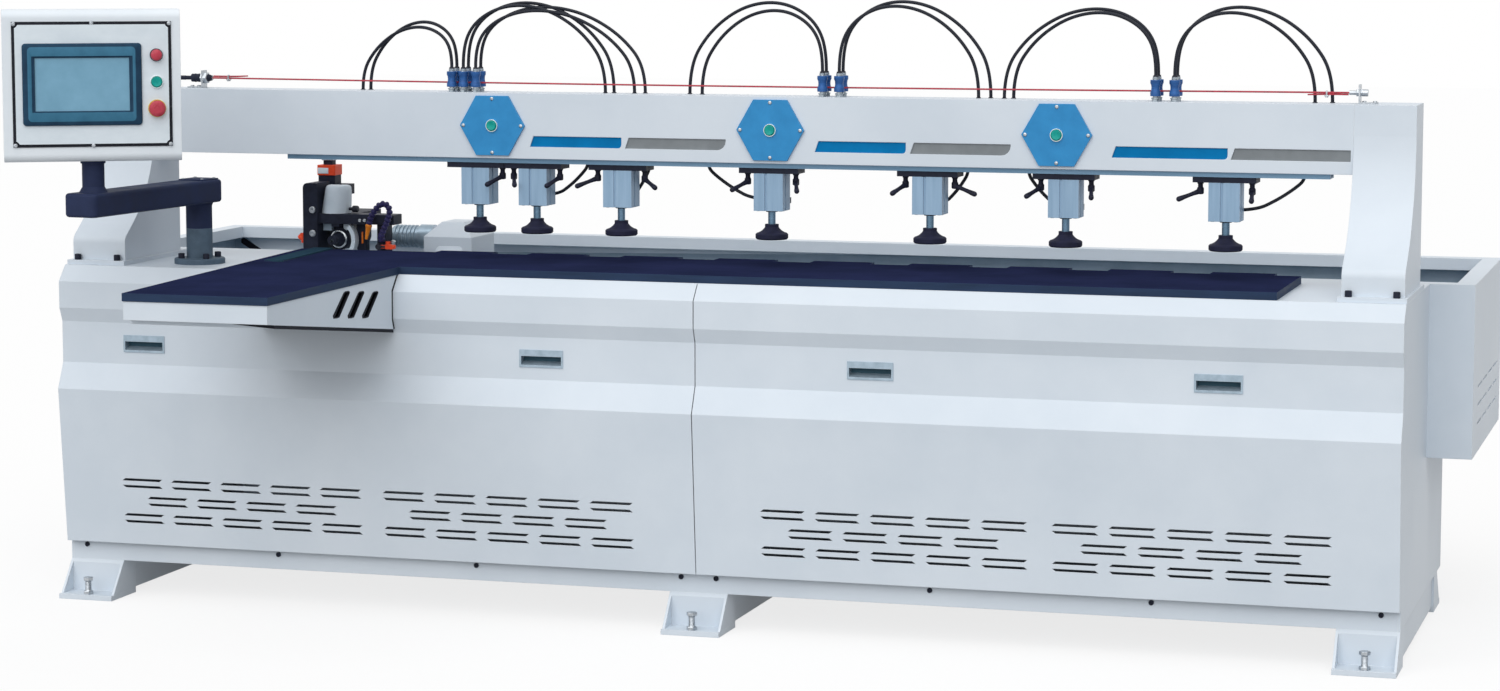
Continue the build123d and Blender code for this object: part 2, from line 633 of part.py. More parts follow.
for y in XRAIL_LINES:
    half = XRAIL_WIDTH / 2
    z1 = GUIDE_TOP + XRAIL_HEIGHT * 0.45
    z2 = GUIDE_TOP + XRAIL_HEIGHT * 0.7
    outline = [(y - half, GUIDE_TOP), (y + half, GUIDE_TOP), (y + half, z1), (y + XRAIL_WAIST, z2),
               (y + half, XRAIL_TOP), (y - half, XRAIL_TOP), (y - XRAIL_WAIST, z2), (y - half, z1)]
    guideway.append(side_prism(outline, -HALF_GUIDE, HALF_GUIDE))
guideway.append(block(-HALF_GUIDE, HALF_GUIDE, GUIDE_FRONT - XRAIL_WIDTH, GUIDE_FRONT,
                      GUIDE_TOP - 2 * XRAIL_WIDTH, GUIDE_TOP - XRAIL_WIDTH))
parts["x_guideway"] = guideway

# Work table: one slab with a splayed left edge, tabs along its rear edge, the infeed extension and a side strip
# let into a rebate


def table_left(y):
    """The table's left edge, which runs outwards towards the rear."""
    return TABLE_LEFT - TABLE_SPLAY * (y + EXTENSION_REACH) / (TABLE_REAR + EXTENSION_REACH)


table_outline = [(TABLE_LEFT, -EXTENSION_REACH),
                 (TABLE_LEFT + EXTENSION_WIDTH, -EXTENSION_REACH),
                 (TABLE_LEFT + EXTENSION_WIDTH, TABLE_FRONT), (TABLE_RIGHT, TABLE_FRONT),
                 (TABLE_RIGHT, TABLE_REAR)]
for index in reversed(range(TAB_COUNT)):
    x = TAB_FIRST + index * TAB_PITCH
    table_outline += [(x + TAB_WIDTH, TABLE_REAR), (x + TAB_WIDTH, TABLE_REAR + TAB_DEPTH),
                      (x, TABLE_REAR + TAB_DEPTH), (x, TABLE_REAR)]
table_outline.append((table_left(TABLE_REAR), TABLE_REAR))
fence_start = TABLE_REAR - FENCE_LENGTH
fence_near = table_left(fence_start) + FENCE_INSET
fence_far = table_left(TABLE_REAR) + FENCE_INSET
fence_outline = [(fence_near, fence_start), (fence_near + FENCE_WIDTH, fence_start),
                 (fence_far + FENCE_WIDTH, TABLE_REAR), (fence_far, TABLE_REAR)]
fence = plan_prism(fence_outline, TABLE_TOP - FENCE_SINK, TABLE_TOP + FENCE_HEIGHT)
parts["work_table"] = [plan_prism(table_outline, DECK_TOP, TABLE_TOP) - fence, fence]

# Bracket: an open-topped sheet wedge with slanted slots, a black sole and a gasket against the panel
BRACKET_LEFT = TABLE_LEFT + BRACKET_INSET
BRACKET_RIGHT = TABLE_LEFT + EXTENSION_WIDTH - BRACKET_INSET
BRACKET_FRONT = -EXTENSION_REACH + BRACKET_INSET
contact = bent_line(profile, -SEAT_GAP)[:4]
seal = bent_line(profile, -GASKET)[:4]
root_z = DECK_TOP - BRACKET_ROOT
share = (seal[2][1] - root_z) / (seal[2][1] - seal[3][1])
seal_foot = (seal[2][0] + share * (seal[3][0] - seal[2][0]), root_z)
share = (contact[2][1] - root_z) / (contact[2][1] - contact[3][1])
contact_foot = (contact[2][0] + share * (contact[3][0] - contact[2][0]), root_z)
BRACKET_TOP = DECK_TOP - SEAT_GAP


def at_top(line):
    """Where a bent line's first run crosses the underside of the table extension."""
    (y0, z0), (y1, z1) = line[:2]
    return (y0 + (BRACKET_TOP - z0) * (y1 - y0) / (z1 - z0), BRACKET_TOP)


wedge = [(BRACKET_FRONT, BRACKET_TOP), at_top(seal), seal[1], seal[2], seal_foot,
         (BRACKET_FRONT, DECK_TOP - BRACKET_NOSE)]
hollow = [(BRACKET_FRONT + BRACKET_SHEET, BRACKET_TOP), at_top(seal), seal[1], seal[2],
          (seal_foot[0], root_z + BRACKET_SHEET),
          (BRACKET_FRONT + BRACKET_SHEET, DECK_TOP - BRACKET_NOSE + BRACKET_SHEET)]
shell = side_prism(wedge, BRACKET_LEFT, BRACKET_RIGHT)
shell -= side_prism(hollow, BRACKET_LEFT + BRACKET_SHEET, BRACKET_RIGHT - BRACKET_SHEET)
slots = []
for index in range(BRACKET_SLOTS):
    top_y = -SLOT_FIRST - index * SLOT_STEP
    top_z = DECK_TOP - SLOT_DROP + index * SLOT_CLIMB
    outline = [(top_y - SLOT_WIDE / 2, top_z), (top_y + SLOT_WIDE / 2, top_z),
               (top_y + SLOT_WIDE / 2 - SLOT_LEAN, top_z - SLOT_TALL),
               (top_y - SLOT_WIDE / 2 - SLOT_LEAN, top_z - SLOT_TALL)]
    slots.append(side_prism(outline, BRACKET_LEFT, BRACKET_RIGHT))
shell -= slots
nose_z = DECK_TOP - BRACKET_NOSE
sole_front = BRACKET_FRONT + SOLE_SETBACK
sole_z = nose_z + SOLE_SETBACK * (root_z - nose_z) / (seal_foot[0] - BRACKET_FRONT)
sole = [(sole_front, sole_z), seal_foot, (seal_foot[0], root_z - GASKET), (sole_front, sole_z - GASKET)]
gasket = [at_top(seal), seal[1], seal[2], seal_foot, contact_foot, contact[2], contact[1], at_top(contact)]
parts["table_bracket"] = [shell, side_prism(sole, BRACKET_LEFT, BRACKET_RIGHT),
                          side_prism(gasket, BRACKET_LEFT, BRACKET_RIGHT)]

# Columns: hollow sheet boxes with an S-shaped front, each on a bolted base plate
COLUMN_BASE = DECK_TOP + COLUMN_PLATE
COLUMN_KINK = COLUMN_BASE + COLUMN_FOOT


def column_face(inset):
    """The column's side outline: upright foot, rearward slope, a bend and a short upright neck."""
    run = BEAM_FRONT - COLUMN_FRONT
    rise = BEAM_TOP - COLUMN_NECK - COLUMN_KINK
    spare = COLUMN_BEND - run
    slope = math.asin(COLUMN_BEND / math.hypot(rise, spare)) - math.atan2(spare, rise)
    lean = (math.sin(slope), math.cos(slope))
    straight = (rise - COLUMN_BEND * lean[0]) / lean[1]
    knee = (COLUMN_FRONT + straight * lean[0], COLUMN_KINK + straight * lean[1])
    neck = (BEAM_FRONT, BEAM_TOP - COLUMN_NECK)
    back = Polyline(neck, (BEAM_FRONT, BEAM_TOP), (COLUMN_REAR, BEAM_TOP), (COLUMN_REAR, COLUMN_BASE),
                    (COLUMN_FRONT, COLUMN_BASE), (COLUMN_FRONT, COLUMN_KINK), knee)
    face = make_face(back + TangentArc(knee, neck, tangent=lean))
    kink = face.vertices().sort_by_distance((COLUMN_FRONT, COLUMN_KINK, 0))[0]
    face = fillet(kink, COLUMN_KINK_ROUND)
    return offset(face, -inset, kind=Kind.INTERSECTION) if inset else face


columns = []
for side in (-1, 1):
    x0, x1 = sorted((side * COLUMN_INNER, side * (COLUMN_INNER + COLUMN_WIDTH)))
    outer = extrude(Plane.YZ * column_face(0.0), COLUMN_WIDTH, dir=(1, 0, 0))
    inner = extrude(Plane.YZ * column_face(COLUMN_WALL), COLUMN_WIDTH - 2 * COLUMN_WALL, dir=(1, 0, 0))
    columns.append(Pos(x0, 0, 0) * (outer - Pos(COLUMN_WALL, 0, 0) * inner))
    columns.append(block(x0 - COLUMN_INSET, x1 + COLUMN_INSET, COLUMN_FRONT - COLUMN_LIP,
                         COLUMN_REAR + COLUMN_LIP, DECK_TOP, COLUMN_BASE))
parts["beam_columns"] = columns


def strip_outline(x0, x1, corner):
    """A slot strip: slanted left end, lower right corner rounded off by the given radius."""
    low = BEAM_BOTTOM + STRIP_LIFT
    high = low + STRIP_HEIGHT
    bend = []
    for angle in (0.0, 22.5, 45.0, 67.5, 90.0):
        turn = math.radians(angle)
        bend.append((x1 - corner + corner * math.sin(turn), low + corner - corner * math.cos(turn)))
    return [(x0 + STRIP_SLANT, high), (x0, low)] + bend + [(x1, high)]


# Beam: a rectangular tube between the columns, slotted for the strips and bored for the buttons
HEX_HEIGHT = (BEAM_TOP + BEAM_BOTTOM) / 2
BUTTON_BORE = BUTTON_RADIUS + BUTTON_GAP
beam = tube(-COLUMN_INNER, COLUMN_INNER, BEAM_FRONT, BEAM_REAR, BEAM_BOTTOM, BEAM_TOP, BEAM_WALL, "x")
beam -= [front_prism(strip_outline(*span), BEAM_FRONT, BEAM_FRONT + BEAM_WALL) for span in STRIP_SPANS]
beam -= [bar_y(x, HEX_HEIGHT, BEAM_FRONT, BEAM_FRONT + BEAM_WALL, BUTTON_BORE) for x in HEX_PLACES]
parts["clamp_beam"] = beam

# Trim: hexagonal covers with button rings, and the strips let into the beam's slots
trim = []
for x in HEX_PLACES:
    cover = Pos(x, BEAM_FRONT, HEX_HEIGHT) * Rot(90, 0, 0) * hexagon(HEX_CORNERS / 2, HEX_THICK)
    trim.append(cover - bar_y(x, HEX_HEIGHT, BEAM_FRONT - HEX_THICK, BEAM_FRONT, BUTTON_BORE))
    ring_front = BEAM_FRONT - HEX_THICK - RING_DEPTH
    ring = bar_y(x, HEX_HEIGHT, ring_front, BEAM_FRONT - HEX_THICK, BUTTON_RING)
    trim.append(ring - bar_y(x, HEX_HEIGHT, ring_front, BEAM_FRONT - HEX_THICK, BUTTON_BORE))
for span in STRIP_SPANS:
    strip_back = BEAM_FRONT + BEAM_WALL
    trim.append(front_prism(strip_outline(*span), strip_back - STRIP_THICK, strip_back))
parts["beam_trim"] = trim

for index, x in enumerate(HEX_PLACES):
    button_front = BEAM_FRONT - HEX_THICK - BUTTON_STAND
    parts[f"beam_button_{index + 1}"] = bar_y(x, HEX_HEIGHT, button_front, button_front + BUTTON_DEPTH,
                                              BUTTON_RADIUS)

# Clamp rail: a flat bar under the beam with a T-slot along its underside
CLAMP_LINE = BEAM_FRONT + BEAM_DEPTH / 2
CLAMP_RAIL_BOTTOM = BEAM_BOTTOM - CLAMP_RAIL_HEIGHT
SLOT_SHOULDER = CLAMP_RAIL_BOTTOM + SLOT_LIP
SLOT_TOP = BEAM_BOTTOM - SLOT_ROOF
rail = block(CLAMP_RAIL_LEFT, CLAMP_RAIL_RIGHT, CLAMP_LINE - CLAMP_RAIL_WIDTH / 2,
             CLAMP_LINE + CLAMP_RAIL_WIDTH / 2, CLAMP_RAIL_BOTTOM, BEAM_BOTTOM)
rail -= block(CLAMP_RAIL_LEFT, CLAMP_RAIL_RIGHT, CLAMP_LINE - SLOT_NECK / 2, CLAMP_LINE + SLOT_NECK / 2,
              CLAMP_RAIL_BOTTOM, SLOT_SHOULDER)
rail -= block(CLAMP_RAIL_LEFT, CLAMP_RAIL_RIGHT, CLAMP_LINE - SLOT_HEAD / 2, CLAMP_LINE + SLOT_HEAD / 2,
              SLOT_SHOULDER, SLOT_TOP)
parts["clamp_rail"] = rail

# Clamps: carrier plate with two T-nuts, compact cylinder, piston rod with a flared foot
CARRIER_BOTTOM = CLAMP_RAIL_BOTTOM - CARRIER_THICK
CYLINDER_BOTTOM = CARRIER_BOTTOM - CYLINDER_HEIGHT
FOOT_TOP = CYLINDER_BOTTOM - ROD_SHOWN
FOOT_BOTTOM = FOOT_TOP - FOOT_HEIGHT


def tee_nut(x):
    """A T-nut whose neck stands on the carrier and whose head runs inside the slot."""
    long = SLOT_HEAD / 2
    neck = block(x - long, x + long, CLAMP_LINE - SLOT_NECK / 2 + TNUT_GAP, CLAMP_LINE + SLOT_NECK / 2 - TNUT_GAP,
                 CLAMP_RAIL_BOTTOM, SLOT_SHOULDER + TNUT_GAP)
    head = block(x - long, x + long, CLAMP_LINE - SLOT_HEAD / 2 + TNUT_GAP, CLAMP_LINE + SLOT_HEAD / 2 - TNUT_GAP,
                 SLOT_SHOULDER + TNUT_GAP / 2, SLOT_TOP - TNUT_GAP)
    return neck + head


def cylinder_body(x):
    """A square profile cylinder with sensor grooves up its sides, bored for piston and rod."""
    y0 = CLAMP_LINE - CYLINDER_DEPTH / 2
    y1 = CLAMP_LINE + CYLINDER_DEPTH / 2
    x0 = x - CYLINDER_WIDTH / 2
    x1 = x + CYLINDER_WIDTH / 2
    z0 = CYLINDER_BOTTOM
    groove = CYLINDER_GROOVE / 2
    body = block(x0, x1, y0, y1, z0, CARRIER_BOTTOM)
    grooves = []
    gx = x - GROOVE_SHIFT
    gy = CLAMP_LINE - GROOVE_SHIFT
    grooves.append(block(gx - groove, gx + groove, y0, y0 + groove, z0, CARRIER_BOTTOM))
    grooves.append(block(gx - groove, gx + groove, y1 - groove, y1, z0, CARRIER_BOTTOM))
    grooves.append(block(x0, x0 + groove, gy - groove, gy + groove, z0, CARRIER_BOTTOM))
    grooves.append(block(x1 - groove, x1, gy - groove, gy + groove, z0, CARRIER_BOTTOM))
    bore = post(x, CLAMP_LINE, z0 + CYLINDER_CAP, CARRIER_BOTTOM - CYLINDER_CAP, PISTON_RADIUS + RUN_GAP)
    gland = post(x, CLAMP_LINE, z0, z0 + CYLINDER_CAP, ROD_RADIUS + RUN_GAP)
    return body - grooves - bore - gland


def clamp_foot(x):
    """A turned rubber foot: straight neck, hollow flare and a rim with broken edges."""
    rim = FOOT_BOTTOM + FOOT_RIM
    shoulder = FOOT_TOP - FOOT_NECK_HEIGHT
    inner = FOOT_RADIUS - FOOT_EDGE
    sides = Polyline((FOOT_NECK, shoulder), (FOOT_NECK, FOOT_TOP), (0, FOOT_TOP), (0, FOOT_BOTTOM), (inner, FOOT_BOTTOM),
                     (FOOT_RADIUS, FOOT_BOTTOM + FOOT_EDGE), (FOOT_RADIUS, rim - FOOT_EDGE), (inner, rim))
    flare = ThreePointArc((inner, rim), (0.4 * inner + 0.6 * FOOT_NECK, 0.6 * rim + 0.4 * shoulder), (FOOT_NECK, shoulder))
    return Pos(x, CLAMP_LINE, 0) * revolve(make_face(Plane.XZ * (sides + flare)), Axis.Z)


PORT_HEIGHT = CYLINDER_BOTTOM + 0.24 * CYLINDER_HEIGHT


def air_elbow(x, side):
    """The elbow on the back of a cylinder, open towards the side that its hose comes from."""
    x0, x1 = sorted((x - side * ELBOW_SHIFT, x - side * (ELBOW_SHIFT + ELBOW_LENGTH)))
    back = CLAMP_LINE + CYLINDER_DEPTH / 2
    return block(x0, x1, back, back + ELBOW_DEPTH, PORT_HEIGHT - ELBOW_HEIGHT / 2, PORT_HEIGHT + ELBOW_HEIGHT / 2)


PISTON_TOP = CARRIER_BOTTOM - CYLINDER_CAP - TNUT_GAP
for index, x in enumerate(CLAMP_PLACES):
    carrier = block(x - CARRIER_LENGTH / 2, x + CARRIER_LENGTH / 2, CLAMP_LINE - CARRIER_WIDTH / 2,
                    CLAMP_LINE + CARRIER_WIDTH / 2, CARRIER_BOTTOM, CLAMP_RAIL_BOTTOM)
    nuts = [tee_nut(x + side * LEVER_OFFSET) for side in (-1, 1)]
    elbows = [air_elbow(x, CLAMP_HOSES[index - 1][0])] if index else []
    parts[f"clamp_{index + 1}"] = [carrier, cylinder_body(x)] + nuts + elbows
    rod = post(x, CLAMP_LINE, FOOT_TOP, PISTON_TOP, ROD_RADIUS)
    rod += post(x, CLAMP_LINE, PISTON_TOP - PISTON_THICK, PISTON_TOP, PISTON_RADIUS)
    parts[f"clamp_rod_{index + 1}"] = [rod, clamp_foot(x)]


def clamp_lever(x, turn):
    """A clamping lever: round hub under the carrier, tapered handle sloping down to a rounded end."""
    bottom = CARRIER_BOTTOM - LEVER_DROP
    hub = Cylinder(LEVER_HUB, LEVER_DROP, align=(Align.CENTER, Align.CENTER, Align.MIN))
    handle = Pos(0, 0, LEVER_HUB) * Rot(90 + LEVER_SLOPE, 0, 0) * Cone(
        LEVER_HUB * 0.62, LEVER_HUB * 0.8, LEVER_REACH, align=(Align.CENTER, Align.CENTER, Align.MIN))
    return Pos(x, CLAMP_LINE, bottom) * Rot(0, 0, turn) * (hub + handle)


for number, (x, turns) in enumerate(zip(CLAMP_PLACES, LEVER_TURNS), 1):
    for side, reach, turn in zip(("left", "right"), (-LEVER_OFFSET, LEVER_OFFSET), turns):
        if turn is not None:
            parts[f"clamp_{number}_{side}_lever"] = clamp_lever(x + reach, turn)


def slide_valve(x, y):
    """A hand slide valve: hexagon base, waisted eight-sided sleeve and a push-in fitting on top."""
    levels = ((0.0, 0.5), (0.2, 0.5), (0.2, 1.0), (0.36, 1.0), (0.44, 0.8), (0.62, 0.8), (0.7, 1.0),
              (0.82, 1.0), (0.82, 0.5), (1.0, 0.5))
    turn = [(share * VALVE_SLEEVE, level * VALVE_HEIGHT) for level, share in levels]
    body = None
    for (r0, z0), (r1, z1) in zip(turn, turn[1:]):
        if z1 > z0:
            lower = Pos(0, 0, z0) * RegularPolygon(r0, 8)
            upper = Pos(0, 0, z1) * RegularPolygon(r1, 8)
            step = loft([lower, upper], ruled=True)
            body = step if body is None else body + step
    return Pos(x, y, BEAM_TOP) * body


parts["slide_valves"] = [slide_valve(x, BEAM_FRONT + row) for x in VALVE_PLACES for row in VALVE_ROWS]

# Air hoses: arches from the valves back into the beam, and tails from the beam to the clamp cylinders
valve_hoses = []
for x0, landings in zip(VALVE_PLACES, HOSE_LANDINGS):
    for row, (landing_x, landing_y, rise) in zip(VALVE_ROWS, landings):
        y0 = BEAM_FRONT + row
        points = [(x0 + s * (landing_x - x0), y0 + s * (BEAM_FRONT + landing_y - y0),
                   BEAM_TOP + VALVE_HEIGHT * (1 - s) + h * rise) for s, h in HOSE_ARCH]
        valve_hoses.append(cord_tube(points, HOSE_DIAMETER))
parts["valve_hoses"] = valve_hoses

HOSE_OUTLET_Y = BEAM_REAR - HOSE_DIAMETER / 2
clamp_hoses = []
for x, (side, outlet_x) in zip(CLAMP_PLACES[1:], CLAMP_HOSES):
    port_x = x - side * ELBOW_SHIFT
    points = [(outlet_x + s * (port_x - outlet_x), HOSE_OUTLET_Y, BEAM_BOTTOM + u * (PORT_HEIGHT - BEAM_BOTTOM))
              for s, u in CLAMP_HOSE_LINE]
    clamp_hoses.append(cord_tube(points, HOSE_DIAMETER))
parts["clamp_hoses"] = clamp_hoses

# Pull cord: rope between a switch on the left and an eye bolt on the right, on small angle brackets
ROPE_Z = BEAM_TOP + ROPE_HEIGHT
ROPE_Y = CLAMP_LINE
ROPE_RADIUS = ROPE_DIAMETER / 2


def angle_bracket(x, foot_side):
    """A small angle: upright leg bored for the rope's hardware, foot screwed to the beam's top."""
    low = ROPE_Y - ANGLE_WIDE / 2
    high = ROPE_Y + ANGLE_WIDE / 2
    x0, x1 = sorted((x, x + foot_side * ANGLE_FOOT))
    shape = block(x0, x1, low, high, BEAM_TOP, BEAM_TOP + ANGLE_THICK)
    u0, u1 = sorted((x, x + foot_side * ANGLE_THICK))
    return shape + block(u0, u1, low, high, BEAM_TOP, ROPE_Z + ANGLE_ABOVE)


left_leg = ROPE_LEFT - FERRULE_LENGTH
right_leg = ROPE_RIGHT + FERRULE_LENGTH
switch_x = left_leg - ANGLE_THICK - SWITCH_LENGTH
nut_x = right_leg + ANGLE_THICK
hardware = [angle_bracket(left_leg, -1), angle_bracket(right_leg, 1)]
hardware.append(bar_x(ROPE_Y, ROPE_Z, switch_x, switch_x + SWITCH_LENGTH, SWITCH_RADIUS))
hardware.append(bar_x(ROPE_Y, ROPE_Z, switch_x - SWITCH_ROD, switch_x, EYE_RADIUS))
hardware.append(bar_x(ROPE_Y, ROPE_Z, left_leg, ROPE_LEFT, EYE_RADIUS))
hardware.append(bar_x(ROPE_Y, ROPE_Z, ROPE_RIGHT, right_leg, EYE_RADIUS))
hardware.append(bar_x(ROPE_Y, ROPE_Z, nut_x, nut_x + EYE_NUT_LENGTH, EYE_NUT_RADIUS))
parts["pull_cord_hardware"] = hardware
parts["pull_rope"] = bar_x(ROPE_Y, ROPE_Z, ROPE_LEFT, ROPE_RIGHT, ROPE_RADIUS)

# Post of the control arm
POST_TOP = DECK_TOP + POST_HEIGHT
ARM_BOTTOM = POST_TOP + SLEEVE_HEIGHT
ARM_TOP = ARM_BOTTOM + ARM_HEIGHT
PIVOT_TOP = ARM_BOTTOM - PIVOT_END
stand = post(POST_X, POST_Y, DECK_TOP, DECK_TOP + POST_FLANGE_THICK, POST_FLANGE)
stand = fillet(stand.edges().filter_by(GeomType.CIRCLE).sort_by(Axis.Z)[-1], POST_FLANGE_ROUND)
stand += post(POST_X, POST_Y, DECK_TOP, POST_TOP, POST_RADIUS)
stand += post(POST_X, POST_Y, DECK_TOP, PIVOT_TOP, PIVOT_RADIUS)
parts["arm_post"] = stand

# Swing arm: sleeve on the post, rounded box arm and the upright that carries the control box
ARM_PLACE = Pos(POST_X, POST_Y, 0) * Rot(0, 0, ARM_TURN)
bar = block(-ARM_WIDTH / 2, ARM_WIDTH / 2, -ARM_LENGTH - ARM_NOSE, ARM_TAIL, ARM_BOTTOM, ARM_TOP)
bar = fillet(bar.edges().filter_by(Axis.Z), 2 * ARM_ROUND)
bar = fillet(bar.faces().sort_by(Axis.Z)[-1].edges() + bar.faces().sort_by(Axis.Z)[0].edges(), ARM_ROUND)
bar += post(0, 0, POST_TOP, ARM_BOTTOM + ARM_ROUND, POST_RADIUS)
bar += Pos(0, 0, ARM_BOTTOM) * Cone(POST_RADIUS, POST_RADIUS * 1.1, ARM_ROUND,
                                    align=(Align.CENTER, Align.CENTER, Align.MAX))
bar += post(0, -ARM_LENGTH, ARM_TOP, ARM_TOP + UPRIGHT_HEIGHT, UPRIGHT_RADIUS)
bar += Pos(0, -ARM_LENGTH, ARM_TOP) * Cone(UPRIGHT_RADIUS * 1.3, UPRIGHT_RADIUS, UPRIGHT_RADIUS * 0.5,
                                            align=(Align.CENTER, Align.CENTER, Align.MIN))
UPRIGHT_TOP = ARM_TOP + UPRIGHT_HEIGHT
BOX_BOTTOM = UPRIGHT_TOP + SWIVEL_COLLAR
SWIVEL_TOP = BOX_BOTTOM + BOX_SHEET + SWIVEL_COLLAR
bar += post(0, -ARM_LENGTH, ARM_TOP, SWIVEL_TOP, SWIVEL_RADIUS)
bar -= post(0, 0, POST_TOP, ARM_BOTTOM, PIVOT_RADIUS + RUN_GAP)
parts["swing_arm"] = ARM_PLACE * bar

# Control box: rounded sheet case, open in front, on a swivel collar
arm_angle = math.radians(ARM_TURN)
UPRIGHT_X = POST_X + ARM_LENGTH * math.sin(arm_angle)
UPRIGHT_Y = POST_Y - ARM_LENGTH * math.cos(arm_angle)
BOX_PLACE = Pos(UPRIGHT_X, UPRIGHT_Y, 0) * Rot(0, 0, BOX_TURN)
BOX_MIDDLE = BOX_BOTTOM + BOX_HEIGHT / 2 + PLATE_RAISE
BOX_FACE = -BOX_DEPTH / 2
case = block(-BOX_WIDTH / 2, BOX_WIDTH / 2, BOX_FACE, -BOX_FACE, BOX_BOTTOM, BOX_BOTTOM + BOX_HEIGHT)
case = fillet(case.faces().sort_by(Axis.Y)[0].edges().filter_by(Axis.X), BOX_ROUND)
room = block(-BOX_WIDTH / 2 + BOX_SHEET, BOX_WIDTH / 2 - BOX_SHEET, BOX_FACE + BOX_SHEET, -BOX_FACE - BOX_SHEET,
             BOX_BOTTOM + BOX_SHEET, BOX_BOTTOM + BOX_HEIGHT - BOX_SHEET)
case -= fillet(room.faces().sort_by(Axis.Y)[0].edges().filter_by(Axis.X), BOX_ROUND - BOX_SHEET)
WINDOW_X = PLATE_WIDTH / 2 - PLATE_REST
WINDOW_Z = PLATE_HEIGHT / 2 - PLATE_REST
case -= block(-WINDOW_X, WINDOW_X, BOX_FACE, BOX_FACE + BOX_SHEET, BOX_MIDDLE - WINDOW_Z, BOX_MIDDLE + WINDOW_Z)
case += post(0, 0, UPRIGHT_TOP, BOX_BOTTOM, UPRIGHT_RADIUS + BOX_SHEET)
case -= post(0, 0, UPRIGHT_TOP, BOX_BOTTOM + BOX_SHEET, SWIVEL_RADIUS + RUN_GAP)
parts["control_box"] = BOX_PLACE * case

# Front plate on its gasket, with the lamp and the fixed rings of both push buttons
PLATE_BACK = BOX_FACE - PLATE_GASKET
PLATE_FACE = PLATE_BACK - PLATE_THICK
START_Z = BOX_MIDDLE + START_LIFT
ESTOP_Z = BOX_MIDDLE + ESTOP_LIFT
LAMP_Z = BOX_MIDDLE + LAMP_LIFT
CUT_X = SCREEN_WIDTH / 2 - SCREEN_REST
CUT_Z = SCREEN_HEIGHT / 2 - SCREEN_REST
holes = [block(SCREEN_SHIFT - CUT_X, SCREEN_SHIFT + CUT_X, PLATE_FACE, BOX_FACE, BOX_MIDDLE - CUT_Z,
               BOX_MIDDLE + CUT_Z),
         bar_y(CONTROL_SHIFT, START_Z, PLATE_FACE, BOX_FACE, BUTTON_BORE),
         bar_y(CONTROL_SHIFT, ESTOP_Z, PLATE_FACE, BOX_FACE, ESTOP_STEM + BUTTON_GAP)]
seal_sheet = block(-PLATE_WIDTH / 2, PLATE_WIDTH / 2, PLATE_BACK, BOX_FACE, BOX_MIDDLE - PLATE_HEIGHT / 2,
                   BOX_MIDDLE + PLATE_HEIGHT / 2) - holes
corners = [(x, BOX_MIDDLE + z) for x in (-PLATE_WIDTH / 2, PLATE_WIDTH / 2)
           for z in (-PLATE_HEIGHT / 2, PLATE_HEIGHT / 2)]
inner_x = PLATE_WIDTH / 2 - PLATE_MARGIN
inner_z = PLATE_HEIGHT / 2 - PLATE_MARGIN
plate = block(-inner_x, inner_x, PLATE_FACE, PLATE_BACK, BOX_MIDDLE - inner_z, BOX_MIDDLE + inner_z) - holes
plate -= [bar_y(x, z, PLATE_FACE, PLATE_BACK, PLATE_NOTCH) for x, z in corners]
lamp = bar_y(CONTROL_SHIFT, LAMP_Z, PLATE_FACE - RING_DEPTH, PLATE_FACE, BUTTON_RING)
lamp += bar_y(CONTROL_SHIFT, LAMP_Z, PLATE_FACE - 2.5 * RING_DEPTH, PLATE_FACE, BUTTON_RADIUS)
start_ring = bar_y(CONTROL_SHIFT, START_Z, PLATE_FACE - RING_DEPTH, PLATE_FACE, BUTTON_RING)
start_ring -= bar_y(CONTROL_SHIFT, START_Z, PLATE_FACE - RING_DEPTH, PLATE_FACE, BUTTON_BORE)
estop_disc = bar_y(CONTROL_SHIFT, ESTOP_Z, PLATE_FACE - RING_DEPTH, PLATE_FACE, ESTOP_BASE)
estop_disc -= bar_y(CONTROL_SHIFT, ESTOP_Z, PLATE_FACE - RING_DEPTH, PLATE_FACE, ESTOP_STEM + BUTTON_GAP)
parts["control_faceplate"] = [BOX_PLACE * piece for piece in (seal_sheet, plate, lamp, start_ring, estop_disc)]

# Touch screen: bezel on the plate, recessed display, body through the cut-out
screen = block(SCREEN_SHIFT - SCREEN_WIDTH / 2, SCREEN_SHIFT + SCREEN_WIDTH / 2, PLATE_FACE - SCREEN_THICK,
               PLATE_FACE, BOX_MIDDLE - SCREEN_HEIGHT / 2, BOX_MIDDLE + SCREEN_HEIGHT / 2)
screen = fillet(screen.edges().filter_by(Axis.Y), SCREEN_ROUND)
screen = chamfer(screen.faces().sort_by(Axis.Y)[0].edges(), SCREEN_THICK / 3)
screen += block(SCREEN_SHIFT - CUT_X + SEAT_GAP, SCREEN_SHIFT + CUT_X - SEAT_GAP, PLATE_FACE,
                PLATE_FACE + SCREEN_BODY, BOX_MIDDLE - CUT_Z + SEAT_GAP, BOX_MIDDLE + CUT_Z - SEAT_GAP)
screen -= block(SCREEN_SHIFT - DISPLAY_WIDTH / 2, SCREEN_SHIFT + DISPLAY_WIDTH / 2, PLATE_FACE - SCREEN_THICK,
                PLATE_FACE - SCREEN_THICK / 2, BOX_MIDDLE - DISPLAY_HEIGHT / 2, BOX_MIDDLE + DISPLAY_HEIGHT / 2)
parts["touch_screen"] = BOX_PLACE * screen

